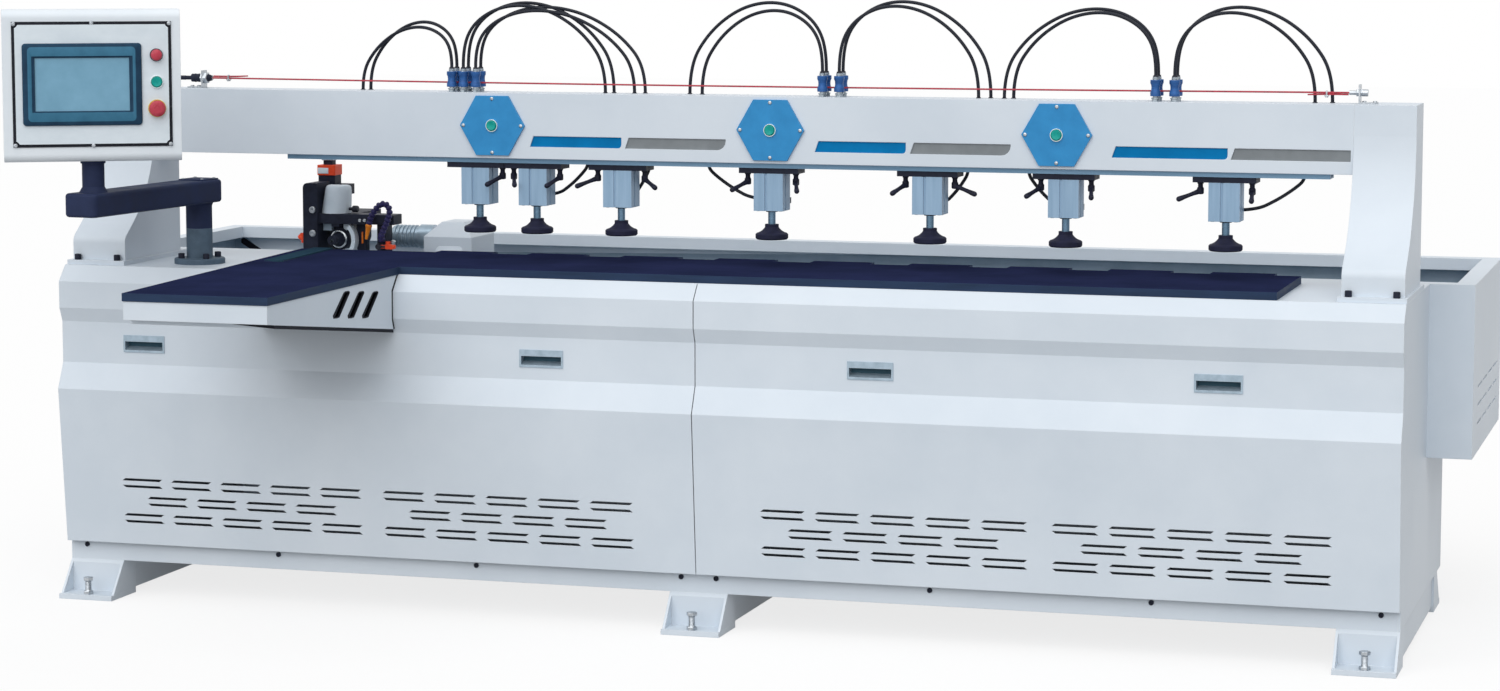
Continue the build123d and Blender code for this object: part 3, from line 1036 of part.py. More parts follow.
# Moving push buttons of the control box
start_front = PLATE_FACE - BUTTON_STAND
parts["start_button"] = BOX_PLACE * bar_y(CONTROL_SHIFT, START_Z, start_front, start_front + BUTTON_DEPTH,
                                          BUTTON_RADIUS)
estop_back = PLATE_FACE - RING_DEPTH - ESTOP_TRAVEL - TNUT_GAP
estop_front = estop_back - ESTOP_HEAD
knob_line = Polyline((0, estop_back), (ESTOP_RADIUS - ESTOP_ROUND, estop_back),
                     (ESTOP_RADIUS, estop_back - ESTOP_UNDER), (ESTOP_RADIUS, estop_front + ESTOP_ROUND),
                     (ESTOP_RADIUS - ESTOP_ROUND, estop_front), (0, estop_front), close=True)
knob = Pos(CONTROL_SHIFT, 0, ESTOP_Z) * revolve(make_face(knob_line), Axis.Y)
knob += bar_y(CONTROL_SHIFT, ESTOP_Z, estop_back - 1, BOX_FACE + BUTTON_DEPTH, ESTOP_STEM)
parts["estop_button"] = BOX_PLACE * knob

# Drilling carriage: saddle on four bearing blocks, tower with the lift motor, drive under a sheet cover
HEAD_LEFT = SPINDLE_X - SPINDLE_RADIUS - HEAD_CLEAR - HEAD_GAP - HEAD_BLOCK
SADDLE_BOTTOM = XRAIL_TOP + BEARING_GAP + BEARING_ROOF
SADDLE_TOP = SADDLE_BOTTOM + SADDLE_THICK
SADDLE_LEFT = HEAD_LEFT - HEAD_CLEAR
SADDLE_RIGHT = SADDLE_LEFT + SADDLE_LENGTH
SADDLE_FRONT = GUIDE_MIDDLE - SADDLE_WIDTH / 2
SADDLE_REAR = GUIDE_MIDDLE + SADDLE_WIDTH / 2
TOWER_FRONT = HEAD_REAR + BEARING_GAP
TOWER_LEFT = HEAD_LEFT + HEAD_BLOCK - HEAD_CLEAR - TOWER_WIDTH
tower = block(TOWER_LEFT, TOWER_LEFT + TOWER_WIDTH, TOWER_FRONT, TOWER_FRONT + TOWER_DEPTH, SADDLE_TOP, TOWER_TOP)
tower_toe = block(TOWER_LEFT, TOWER_LEFT + TOWER_WIDTH, TOWER_FRONT, SADDLE_FRONT, SADDLE_BOTTOM, SADDLE_TOP)
carriage = [block(SADDLE_LEFT, SADDLE_RIGHT, SADDLE_FRONT, SADDLE_REAR, SADDLE_BOTTOM, SADDLE_TOP),
            tower + tower_toe]
for x in (SADDLE_LEFT + BEARING_LENGTH, SADDLE_RIGHT - BEARING_LENGTH):
    for y in XRAIL_LINES:
        ends = (x - BEARING_LENGTH / 2, x + BEARING_LENGTH / 2)
        shoe = block(*ends, y - BEARING_WIDTH / 2, y + BEARING_WIDTH / 2, GUIDE_TOP + BEARING_LIFT, SADDLE_BOTTOM)
        channel = XRAIL_WIDTH / 2 + BEARING_GAP
        carriage.append(shoe - block(*ends, y - channel, y + channel, GUIDE_TOP, XRAIL_TOP + BEARING_GAP))
MOTOR_X = TOWER_LEFT + TOWER_WIDTH / 2 + MOTOR_SHIFT / 2
MOTOR_Y = TOWER_FRONT + TOWER_DEPTH / 2
carriage.append(block(TOWER_LEFT, TOWER_LEFT + TOWER_WIDTH + MOTOR_SHIFT, TOWER_FRONT, TOWER_FRONT + TOWER_DEPTH,
                      TOWER_TOP, TOWER_TOP + MOTOR_PLATE))
motor_level = TOWER_TOP + MOTOR_PLATE
for size, height in ((MOTOR_SIZE - MOTOR_STEP, MOTOR_BODY), (MOTOR_SIZE, MOTOR_CAP), (MOTOR_SIZE / 2, MOTOR_PLUG)):
    piece = Pos(MOTOR_X, MOTOR_Y, motor_level + height / 2) * Box(size, size, height)
    carriage.append(fillet(piece.edges().filter_by(Axis.Z), size / 12))
    motor_level += height
COVER_LEFT = SADDLE_RIGHT - COVER_LENGTH
COVER_TOP = DECK_TOP + COVER_HEIGHT


def drive_cover(inset):
    """The drive's cover: a box whose four top edges and right front corner are cut back."""
    shape = block(COVER_LEFT + inset, SADDLE_RIGHT - inset, SADDLE_FRONT + inset, SADDLE_REAR - inset, SADDLE_TOP,
                  COVER_TOP - inset)
    return chamfer(shape.faces().sort_by(Axis.Z)[-1].edges(), COVER_CHAMFER - inset / 2)


carriage.append(drive_cover(0.0) - drive_cover(COVER_SHEET))
DRIVE_Z = COVER_TOP - DRIVE_DROP
drive = bar_x(GUIDE_MIDDLE, DRIVE_Z, COVER_LEFT - DRIVE_LENGTH, COVER_LEFT, DRIVE_RADIUS)
drive += bar_x(GUIDE_MIDDLE, DRIVE_Z, COVER_LEFT - DRIVE_LENGTH / 3, COVER_LEFT, DRIVE_RADIUS * 1.2)
carriage.append(drive)
parts["x_carriage"] = carriage

# Lift slide: front block, cantilever plate and pillar, with feed guide, motor hood, shroud and air nozzle
HEAD_BOTTOM = DECK_TOP + HEAD_CLEAR
HEAD_RIGHT = HEAD_LEFT + HEAD_BLOCK + LIFT_PLATE_LENGTH
PLATE_LOW = HEAD_BOTTOM + LIFT_PLATE_LIFT
PLATE_HIGH = PLATE_LOW + LIFT_PLATE
PLATE_FRONT = HEAD_FRONT + LIFT_PLATE_INSET
LIFT_PLATE_REAR = PLATE_FRONT + LIFT_PLATE_DEPTH
SPINDLE_Z = TABLE_TOP + SPINDLE_LIFT
PILLAR_RIGHT = HEAD_RIGHT - PILLAR_INSET
PILLAR_LEFT = PILLAR_RIGHT - PILLAR_WIDTH
lift = block(HEAD_LEFT, HEAD_LEFT + HEAD_BLOCK, HEAD_FRONT, HEAD_REAR, HEAD_BOTTOM, HEAD_BOTTOM + HEAD_BLOCK_HEIGHT)
lift = fillet(lift.edges().filter_by(Axis.Y).group_by(Axis.Z)[-1].sort_by(Axis.X)[0], HEAD_BLOCK_ROUND)
lift += block(HEAD_LEFT + HEAD_BLOCK, SPINDLE_X + SPINDLE_RADIUS + LIFT_WING_GAP, PLATE_FRONT, LIFT_PLATE_REAR,
              PLATE_LOW, PLATE_HIGH)
lift += block(HEAD_LEFT + HEAD_BLOCK, HEAD_RIGHT, PLATE_FRONT, PLATE_FRONT + LIFT_WING_DEPTH, PLATE_LOW, PLATE_HIGH)
lift += block(PILLAR_LEFT, PILLAR_RIGHT, PLATE_FRONT + LIFT_PLATE_INSET, PLATE_FRONT + PILLAR_DEPTH, HEAD_BOTTOM,
              PLATE_LOW)
lift += block(SPINDLE_X - FEED_GUIDE, SPINDLE_X + FEED_GUIDE, PLATE_FRONT + HEAD_CLEAR, LIFT_PLATE_REAR,
              PLATE_LOW - FEED_GUIDE_DROP, PLATE_LOW)
hood_left = HEAD_LEFT + HEAD_BLOCK + HEAD_CLEAR
hood_right = hood_left + HOOD_WIDTH
hood_front = PLATE_FRONT + HEAD_CLEAR
hood_shoulder = hood_front + HOOD_BOW
hood_rear = hood_front + HOOD_DEPTH
hood_plan = Polyline((hood_right, hood_shoulder), (hood_right, hood_rear), (hood_left, hood_rear),
                     (hood_left, hood_shoulder))
hood_plan += ThreePointArc((hood_left, hood_shoulder), ((hood_left + hood_right) / 2, hood_front),
                           (hood_right, hood_shoulder))
motor_hood = Pos(0, 0, PLATE_HIGH) * extrude(make_face(hood_plan), HOOD_HEIGHT, dir=(0, 0, 1))
shroud = bar_y(SPINDLE_X, SPINDLE_Z, PLATE_FRONT + HEAD_CLEAR, PLATE_FRONT + SHROUD_DEPTH, SHROUD_RADIUS)
shroud -= bar_y(SPINDLE_X, SPINDLE_Z, PLATE_FRONT, PLATE_FRONT + SHROUD_DEPTH, SHROUD_RADIUS - SHROUD_WALL)
shroud &= block(SPINDLE_X + SPINDLE_RADIUS + HEAD_CLEAR, SPINDLE_X + SHROUD_RADIUS, PLATE_FRONT,
                PLATE_FRONT + SHROUD_DEPTH, HEAD_BOTTOM, PLATE_LOW)
stop_block = block(PILLAR_LEFT - STOP_GAP - STOP_WIDTH, PILLAR_LEFT - STOP_GAP, PLATE_FRONT + STOP_INSET,
                   PLATE_FRONT + STOP_INSET + STOP_DEPTH, HEAD_BOTTOM, PLATE_LOW)
HOSE_Y = HEAD_FRONT - AIR_HOSE_PROUD
HOSE_X = PILLAR_LEFT + AIR_HOSE_INSET
hose_points = [(HOSE_X + x, HOSE_Y + y, HEAD_BOTTOM + z) for x, y, z in AIR_HOSE_LINE]
hose_points[0] = (HOSE_X, PLATE_FRONT + LIFT_PLATE_INSET, hose_points[0][2])
air_hose = cord_tube(hose_points, AIR_HOSE_DIAMETER)
nozzle_way = Vector(*hose_points[-1]) - Vector(*hose_points[-2])
nozzle = Plane(hose_points[-1], z_dir=nozzle_way) * Cone(NOZZLE_BASE, NOZZLE_TIP_RADIUS, NOZZLE_TUBE,
                                                         align=(Align.CENTER, Align.CENTER, Align.MIN))
left_fitting = block(HEAD_LEFT - FITTING_REACH, HEAD_LEFT, HEAD_FRONT + FITTING_INSET,
                     HEAD_FRONT + FITTING_INSET + FITTING_WIDTH, HEAD_BOTTOM + FITTING_LIFT,
                     HEAD_BOTTOM + FITTING_LIFT + FITTING_HEIGHT)
right_fitting = bar_y(PILLAR_RIGHT - PLUG_INSET, HEAD_BOTTOM + PLUG_LIFT, PLATE_FRONT - PLUG_STAND,
                      PLATE_FRONT + LIFT_PLATE_INSET, PLUG_RADIUS)
parts["z_slide"] = [lift, motor_hood, shroud, stop_block, air_hose, nozzle, left_fitting, right_fitting]

# Drilling head: spindle housing hung on the feed guide
SPINDLE_REAR = SPINDLE_FACE + SPINDLE_LENGTH
head = block(SPINDLE_X - SPINDLE_RADIUS, SPINDLE_X + SPINDLE_RADIUS, SPINDLE_FACE + SPINDLE_CAP, SPINDLE_REAR,
             SPINDLE_Z, PLATE_LOW - BEARING_GAP)
head += bar_y(SPINDLE_X, SPINDLE_Z, SPINDLE_FACE, SPINDLE_REAR, SPINDLE_RADIUS)
head -= block(SPINDLE_X - FEED_GUIDE - BEARING_GAP, SPINDLE_X + FEED_GUIDE + BEARING_GAP, SPINDLE_FACE,
              SPINDLE_REAR, PLATE_LOW - FEED_GUIDE_DROP - BEARING_GAP, PLATE_LOW)
head -= bar_y(SPINDLE_X, SPINDLE_Z, SPINDLE_FACE, SPINDLE_REAR - SPINDLE_CAP, SHAFT_RADIUS + RUN_GAP)
parts["spindle_head"] = head

# Spindle rotor: tapered nose with the collet bore, on a shaft inside the housing
NOSE_TIP = SPINDLE_FACE - NOSE_LENGTH
NOSE_BACK = SPINDLE_FACE - SEAT_GAP
nose_line = Polyline((0, NOSE_TIP), (NOSE_RADIUS, NOSE_TIP), (NOSE_RADIUS, NOSE_TIP + NOSE_TAPER),
                     (SPINDLE_RADIUS * 0.7, NOSE_BACK - NOSE_TAPER / 2), (SPINDLE_RADIUS * 0.7, NOSE_BACK),
                     (SHAFT_RADIUS, NOSE_BACK), (SHAFT_RADIUS, SPINDLE_REAR - SPINDLE_CAP - SEAT_GAP),
                     (0, SPINDLE_REAR - SPINDLE_CAP - SEAT_GAP), close=True)
rotor = Pos(SPINDLE_X, 0, SPINDLE_Z) * revolve(make_face(nose_line), Axis.Y)
parts["spindle_rotor"] = rotor - bar_y(SPINDLE_X, SPINDLE_Z, NOSE_TIP, NOSE_TIP + COLLET_DEPTH, COLLET_RADIUS)

# Fasteners: levelling bolts, column and post bolts, panel screws
fasteners = []
for x in CROSS_PLACES:
    for y in (FRONT_BOLT_Y, REAR_BOLT_Y):
        bolt = post(x, y, 1.0, BOLT_STAND, BOLT_RADIUS)
        bolt += Pos(x, y, FOOT_PLATE) * hexagon(1.6 * BOLT_RADIUS, BOLT_RADIUS)
        bolt += Pos(x, y, BOLT_STAND) * hexagon(1.6 * BOLT_RADIUS, BOLT_RADIUS)
        fasteners.append(bolt)
for side in (-1, 1):
    for x in (COLUMN_INNER + 0.12 * COLUMN_WIDTH, COLUMN_INNER + 0.88 * COLUMN_WIDTH):
        for y in (COLUMN_FRONT - COLUMN_LIP / 2, COLUMN_REAR + COLUMN_LIP / 2):
            fasteners.append(Pos(side * x, y, COLUMN_BASE) * hexagon(BOLT_RADIUS, 1.8 * BOLT_RADIUS))
for index in range(4):
    angle = math.radians(45 + 90 * index)
    reach = (POST_FLANGE + POST_RADIUS) / 2
    fasteners.append(Pos(POST_X + reach * math.cos(angle), POST_Y + reach * math.sin(angle),
                         DECK_TOP + POST_FLANGE_THICK) * hexagon(BOLT_RADIUS, 1.6 * BOLT_RADIUS))
for x0, x1 in ((-HALF_BED, 0.0), (0.0, HALF_BED)):
    for index in range(SCREW_COUNT):
        x = x0 + SCREW_MARGIN + index * (x1 - x0 - 2 * SCREW_MARGIN) / (SCREW_COUNT - 1)
        fasteners.append(Pos(x, RAIL_SETBACK, PANEL_BOTTOM - SCREW_DROP) * Rot(90, 0, 0)
                         * hexagon(SCREW_RADIUS, SCREW_HEAD))
parts["fasteners"] = fasteners

os.makedirs("parts", exist_ok=True)
for name, shape in parts.items():
    solids = shape if isinstance(shape, list) else [shape]
    export_step(Compound(children=[solid for piece in solids for solid in piece.solids()]), f"parts/{name}.step")
print(len(parts), "nodes")
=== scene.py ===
import json
import math
import bmesh
import bpy
from mathutils import Matrix, Vector


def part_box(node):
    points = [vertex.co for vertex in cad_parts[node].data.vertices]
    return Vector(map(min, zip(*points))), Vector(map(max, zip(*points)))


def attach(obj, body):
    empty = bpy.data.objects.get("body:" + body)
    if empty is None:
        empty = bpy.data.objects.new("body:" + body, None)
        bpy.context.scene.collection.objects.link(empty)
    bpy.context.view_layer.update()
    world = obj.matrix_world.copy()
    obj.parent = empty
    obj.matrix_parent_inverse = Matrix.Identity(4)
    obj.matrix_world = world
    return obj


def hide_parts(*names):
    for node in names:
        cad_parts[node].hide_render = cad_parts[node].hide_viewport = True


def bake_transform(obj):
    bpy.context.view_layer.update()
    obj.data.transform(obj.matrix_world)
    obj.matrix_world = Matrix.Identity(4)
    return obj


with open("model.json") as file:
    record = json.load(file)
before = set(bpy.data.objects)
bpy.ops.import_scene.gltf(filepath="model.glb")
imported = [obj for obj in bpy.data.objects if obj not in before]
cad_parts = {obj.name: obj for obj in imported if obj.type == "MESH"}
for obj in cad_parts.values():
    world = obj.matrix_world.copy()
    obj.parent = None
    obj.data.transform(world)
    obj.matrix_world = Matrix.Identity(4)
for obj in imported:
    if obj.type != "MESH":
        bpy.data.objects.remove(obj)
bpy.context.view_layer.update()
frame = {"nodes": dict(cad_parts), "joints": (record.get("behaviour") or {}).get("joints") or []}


# Base frame: welded rectangular steel tubes on splayed feet of plate and gussets.
# The whole frame is blasted, powder-coated and baked in one light grey.

def linear(code):
    """An sRGB hex colour as linear RGBA."""
    shares = [int(code[start:start + 2], 16) / 255 for start in (1, 3, 5)]
    curved = [share / 12.92 if share <= 0.04045 else ((share + 0.055) / 1.055) ** 2.4 for share in shares]
    return curved + [1.0]


def add(tree, kind, settings=None, links=None):
    """One shader node, with its settings by socket or property name and its links by input."""
    node = tree.nodes.new(kind)
    for name, value in (settings or {}).items():
        if name in node.inputs:
            node.inputs[name].default_value = value
        else:
            setattr(node, name, value)
    for name, socket in (links or {}).items():
        tree.links.new(socket, node.inputs[name])
    return node


def surface(name, pale, deep, patch, rough, metal=0.0, shine=0.5, grit=3.0, relief=0.05, edge=1.5,
            edge_wear_and_highlight=None, grain=(1, 1, 1)):
    """A finish whose colour and gloss wander in patches, with fine relief and eased edges that take a given
    colour, partly as wear and partly as a painted highlight.

    Patch, grit, relief and edge are in mm; a grain below 1 stretches the pattern along that axis.
    """
    material = bpy.data.materials.new(name)
    material.use_nodes = True
    tree = material.node_tree
    shader = tree.nodes["Principled BSDF"]
    shader.inputs["Metallic"].default_value = metal
    shader.inputs["Specular IOR Level"].default_value = shine
    place = add(tree, "ShaderNodeTexCoord")
    broad = add(tree, "ShaderNodeMapping", {"Scale": [1000 / patch * way for way in grain]},
                {"Vector": place.outputs["Object"]})
    mottle = add(tree, "ShaderNodeTexNoise", {"Scale": 1.0, "Detail": 5.0, "Roughness": 0.6},
                 {"Vector": broad.outputs["Vector"]})
    tone = add(tree, "ShaderNodeValToRGB", {}, {"Fac": mottle.outputs["Fac"]})
    dip, crest = 0.35, 0.65
    for stop, position, colour in zip(tone.color_ramp.elements, (dip, crest), (deep, pale)):
        stop.position = position
        stop.color = linear(colour)
    gloss = add(tree, "ShaderNodeMapRange",
                {"From Min": dip, "From Max": crest, "To Min": rough * 0.85, "To Max": rough * 1.15},
                {"Value": mottle.outputs["Fac"]})
    tree.links.new(gloss.outputs["Result"], shader.inputs["Roughness"])
    eased = add(tree, "ShaderNodeBevel", {"samples": 4, "Radius": edge / 1000})
    fine = add(tree, "ShaderNodeMapping", {"Scale": [1000 / grit * way for way in grain]},
               {"Vector": place.outputs["Object"]})
    speck = add(tree, "ShaderNodeTexNoise", {"Scale": 1.0, "Detail": 3.0}, {"Vector": fine.outputs["Vector"]})
    bump = add(tree, "ShaderNodeBump", {"Distance": relief / 1000},
               {"Height": speck.outputs["Fac"], "Normal": eased.outputs["Normal"]})
    tree.links.new(bump.outputs["Normal"], shader.inputs["Normal"])
    colour = tone.outputs["Color"]
    # Along edges the colour turns to the given one: partly wear, partly a painted highlight.
    if edge_wear_and_highlight:
        flat = add(tree, "ShaderNodeNewGeometry")
        turned_away = add(tree, "ShaderNodeVectorMath", {"operation": "DOT_PRODUCT"},
                          {0: eased.outputs["Normal"], 1: flat.outputs["Normal"]})
        edge_wear_and_highlight_share = add(tree, "ShaderNodeMapRange",
                     {"From Min": 0.8, "From Max": 0.99, "To Min": 0.8, "To Max": 0.0},
                     {"Value": turned_away.outputs["Value"]})
        colour = add(tree, "ShaderNodeMixRGB", {"Color2": linear(edge_wear_and_highlight)},
                     {"Fac": edge_wear_and_highlight_share.outputs["Result"], "Color1": colour}).outputs["Color"]
    tree.links.new(colour, shader.inputs["Base Color"])
    return material


def dress(node, *skins, pick=None):
    """Gives a CAD node its finishes; pick says by a face's middle, in mm, which of them the face takes."""
    mesh = frame["nodes"][node].data
    mesh.materials.clear()
    for skin in skins:
        mesh.materials.append(skin)
    for face in mesh.polygons:
        face.use_smooth = True
        face.material_index = int(pick(face.center * 1000)) if pick else 0
    mesh.set_sharp_from_angle(angle=math.radians(30))


# Powder coat: even and satin, with a faint orange peel (about 1 mm, drawn at 5 mm so that it shows)
# and a broad unevenness from handling and dust; along edges the coat is painted paler, partly thinning and
# partly a painted highlight.
paint = surface("powder_coated_steel_light_grey", "#D5DEE7", "#CDD7E1", 340, 0.45, shine=0.4, grit=5,
                relief=0.08, edge=2.0, edge_wear_and_highlight="#EAF0F5")
dress("base_frame", paint)


# Fasteners: zinc-plated levelling bolts with lock nuts in the feet, black socket head screws in the
# column and post flanges, and black screws that hold the front panels to the frame.

def rings_to_faces(form, rings, skin, closed=False):
    """Skins a row of rings, with one skin or one for each band; one point is a tip, open ends get a cap."""
    pairs = list(zip(rings, rings[1:])) + ([(rings[-1], rings[0])] if closed else [])
    bands = skin if isinstance(skin, tuple) else (skin,) * len(pairs)
    for (low, high), band in zip(pairs, bands):
        for index in range(max(len(low), len(high))):
            corners = [low[index % len(low)], low[(index + 1) % len(low)],
                       high[(index + 1) % len(high)], high[index % len(high)]]
            corners = list(dict.fromkeys(corners))
            if len(corners) > 2:
                form.faces.new(corners).material_index = band
    if not closed:
        for ring in (rings[0], rings[-1]):
            if len(ring) > 2:
                form.faces.new(ring).material_index = bands[0]


def turned(form, profile, foot, axis=(0, 0, 1), skin=0, sides=24, closed=False):
    """A turned shape in mm: (radius, height) steps along an axis that starts at foot."""
    way = Vector(axis).to_track_quat("Z", "Y")
    rings = []
    for radius, height in profile:
        angles = [2 * math.pi * index / sides for index in range(sides if radius else 1)]
        steps = [Vector((radius * math.cos(angle), radius * math.sin(angle), height)) for angle in angles]
        rings.append([form.verts.new(Vector(foot) + way @ step) for step in steps])
    rings_to_faces(form, rings, skin, closed)


def piece(name, body, form, slot, *skins, place=None):
    """Finishes a mesh drawn in mm: put in place, in metres, smooth where it curves, riding on its body."""
    bmesh.ops.recalc_face_normals(form, faces=form.faces)
    mesh = bpy.data.meshes.new(name)
    form.to_mesh(mesh)
    form.free()
    mesh.transform(Matrix.Scale(0.001, 4) @ (place or Matrix.Identity(4)))
    for skin in skins:
        mesh.materials.append(skin)
    for face in mesh.polygons:
        face.use_smooth = True
    mesh.set_sharp_from_angle(angle=math.radians(35))
    made = bpy.data.objects.new(name, mesh)
    bpy.context.scene.collection.objects.link(made)
    if body:
        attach(made, body)
    return made


def reach(node):
    """The lowest and the highest corner of a CAD node, in mm to a hundredth."""
    return [Vector([round(value * 1000, 2) for value in corner]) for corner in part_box(node)]


def pivot(name):
    """The place of a joint, in mm to a hundredth."""
    joint = next(joint for joint in frame["joints"] if joint["name"] == name)
    return Vector([round(value * 1000, 2) for value in joint["pos_m"]])


# Zinc plating: pale, slightly yellow-grey metal with cloudy spangle of a few millimetres.
zinc = surface("zinc_plated_steel", "#BDC2C7", "#9BA1A7", 6, 0.3, metal=0.95, grit=1.5, relief=0.03, edge=0.5)
# Black oxide: near-black steel, oily satin, paler along edges, partly bare metal showing through wear and
# partly a painted highlight.
black_oxide = surface("black_oxide_steel", "#292D3C", "#20232F", 24, 0.5, shine=0.1, grit=2, relief=0.04,
                      edge=0.8, edge_wear_and_highlight="#3E4450")


def socket_screw(form, foot, axis, radius, height, skin=0):
    """A socket head screw: straight head with a broken edge and a recess for the key."""
    head = [(radius, 0), (radius, height * 0.88), (radius * 0.9, height), (radius * 0.58, height),
            (radius * 0.52, height * 0.5), (0, height * 0.45)]
    turned(form, head, foot, axis, skin, 18)


bed_low, bed_high = reach("bed_housing")
DECK_TOP = bed_high.z
POST = pivot("arm_swivel")
LEVELLING_X = (-1559, 0, 1559)
LEVELLING_Y = (-14, 876)
THREADS = 8
THREAD_START = 22
THREAD_PITCH = 3
LOCK_NUT = [(12.8, 12), (12.8, 19), (11.6, 20.4)]
BOLT_HEAD = [(11.6, 45.6), (12.8, 46.8), (12.8, 53), (11.4, 54)]
COLUMN_BOLT_X = (1500, 1606)
COLUMN_BOLT_Y = (56, 382)
COLUMN_PLATE = 11
POST_BOLT_CIRCLE = 47
POST_FLANGE = 14
PANEL_SCREWS = 4
PANEL_SCREW_INSET = 43
PANEL_SCREW_Y = 40
PANEL_SCREW_Z = 126
form = bmesh.new()
for x in LEVELLING_X:
    for y in LEVELLING_Y:
        shank = [(8, 1)]
        for turn in range(THREADS):
            crest = THREAD_START + turn * THREAD_PITCH
            shank += [(8, crest), (7.1, crest + THREAD_PITCH / 2)]
        turned(form, shank + [(8, 46)], (x, y, 0), sides=16)
        turned(form, LOCK_NUT, (x, y, 0), sides=6)
        turned(form, BOLT_HEAD, (x, y, 0), sides=6)
for side in (-1, 1):
    for x in COLUMN_BOLT_X:
        for y in COLUMN_BOLT_Y:
            socket_screw(form, (side * x, y, DECK_TOP + COLUMN_PLATE), (0, 0, 1), 8, 14, 1)
for index in range(4):
    angle = math.radians(45 + 90 * index)
    across = Vector((math.cos(angle), math.sin(angle))) * POST_BOLT_CIRCLE
    socket_screw(form, (POST.x + across.x, POST.y + across.y, DECK_TOP + POST_FLANGE), (0, 0, 1), 8, 12.5, 1)
for first, last in ((bed_low.x, 0), (0, bed_high.x)):
    spacing = (last - first - 2 * PANEL_SCREW_INSET) / (PANEL_SCREWS - 1)
    for index in range(PANEL_SCREWS):
        x = first + PANEL_SCREW_INSET + index * spacing
        socket_screw(form, (x, PANEL_SCREW_Y, PANEL_SCREW_Z), (0, -1, 0), 6, 4, 1)
bolts = piece("bed_bolts", "machine_bed", form, "black_steel", zinc, black_oxide)
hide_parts("fasteners")


# Bed housing: thick deck plate, sheet end walls and a screwed rear cover, coated like the frame.
# The rear cover is held by a row of button head screws along its edges.
dress("bed_housing", paint)
REAR_SCREW = [(6, 0), (5.6, 1.8), (3.6, 3), (2, 3.1), (1.8, 1.6), (0, 1.5)]
REAR_SCREWS = 13
REAR_SCREW_FIRST = -1560
REAR_SCREW_SPACING = 260
REAR_SCREW_Z = (105, 397)
form = bmesh.new()
for index in range(REAR_SCREWS):
    for z in REAR_SCREW_Z:
        foot = (REAR_SCREW_FIRST + REAR_SCREW_SPACING * index, bed_high.y, z)
        turned(form, REAR_SCREW, foot, (0, 1, 0), sides=16)
piece("rear_cover_screws", "machine_bed", form, "black_steel", black_oxide)


# Front panels: 2 mm sheet, punched with pairs of louvre slots, bent along its length and coated.
# Each is hung between the deck edge and the lower rail and screwed at the bottom.
dress("left_front_panel", paint)
dress("right_front_panel", paint)


# Pull handles: die-cast flush cups pressed into the recessed band, four along the bed.
# They are satin plated; the back wall and the roof of each cup are painted dark teal as shade behind the
# finger opening.
# Satin plating: cool grey, softly reflecting, brighter along edges, partly from wear and partly as a painted
# highlight.
satin = surface("satin_plated_die_cast_zinc", "#A4B6C4", "#93A6B4", 18, 0.36, metal=0.45, grit=2.5,
                relief=0.04, edge=1.0, edge_wear_and_highlight="#C6D2DB")
# Cup shade: dark teal painted shade on the cup's back wall and roof, half matt.
cup_painted_shade = surface("painted_shade_cup_dark_teal", "#3A5866", "#314D5A", 20, 0.6, shine=0.15, grit=2,
                    relief=0.04, edge=0.6)
CUP_FACE_Y = 14.5
CUP_BACK_Y = 31.5
CUP_ROOF_Z = 637.5


def inside_cup(middle):
    """The back wall and the roof of a cup take the dark teal painted shade."""
    return middle.y > CUP_BACK_Y or middle.y > CUP_FACE_Y and middle.z > CUP_ROOF_Z


dress("panel_handles", satin, cup_painted_shade, pick=inside_cup)


# Rear trough: folded sheet that catches the chips, with an inward rim and louvred ends, coated like the bed.
# Its inside is painted a darker grey, partly dust and partly painted shade, and a rubber flap closes the
# slanted cable slot in its rear wall.
# Dusted coat: the same grey, darker, partly wood dust and partly painted shade, matt and blotched by wood
# dust in patches of a hand's breadth.
dust_and_shade = surface("powder_coat_dust_and_painted_shade", "#A5B5C3", "#91A3B2", 110, 0.7, shine=0.15, grit=5,
                relief=0.1, edge=2.0)
# Black rubber: soft, almost without gloss, with a fine moulded texture and grey bloom.
rubber = surface("black_moulded_rubber", "#25272F", "#1B1C23", 20, 0.75, shine=0.15, grit=1.5,
                 relief=0.08, edge=0.8)
trough_low, trough_high = reach("rear_trough")
TROUGH_SHEET = 3
TROUGH_RIM = 31
CABLE_FLAP = ((-1714, 771), (-1714, 782), (-1708, 785), (-1700, 782), (-1654, 755), (-1654, 737),
              (-1658, 735.5))
FLAP_FRONT = trough_high.y - 5.2
FLAP_BACK = trough_high.y - 3.6


def inside_trough(middle):
    """Faces below the rim's fold that look into the trough take the darker grey, partly dust and partly
    painted shade.
    """
    across = trough_low.x + TROUGH_SHEET < middle.x < trough_high.x - TROUGH_SHEET
    between = trough_low.y + TROUGH_SHEET < middle.y < trough_high.y - TROUGH_SHEET
    return across and between and trough_low.z + TROUGH_SHEET < middle.z < trough_high.z - TROUGH_RIM


def prism(form, outline, front, back, edge=1.0, skin=0, flat=False):
    """A plate in mm with broken front edges: an (X, Z) outline along Y, or flat, an (X, Y) one along Z."""
    middle = [sum(values) / len(outline) for values in zip(*outline)]
    inward = math.copysign(edge, back - front)
    rings = []
    for depth, inset in ((front, edge), (front + inward, 0), (back, 0)):
        ring = []
        for x, up in outline:
            share = 1 - inset / math.hypot(x - middle[0], up - middle[1])
            x, up = middle[0] + (x - middle[0]) * share, middle[1] + (up - middle[1]) * share
            ring.append(form.verts.new((x, up, depth) if flat else (x, depth, up)))
        rings.append(ring)
    rings_to_faces(form, rings, skin)


dress("rear_trough", paint, dust_and_shade, pick=inside_trough)
form = bmesh.new()
prism(form, CABLE_FLAP, FLAP_FRONT, FLAP_BACK, 0.5)
piece("cable_slot_flap", "machine_bed", form, "black_plastic", rubber)


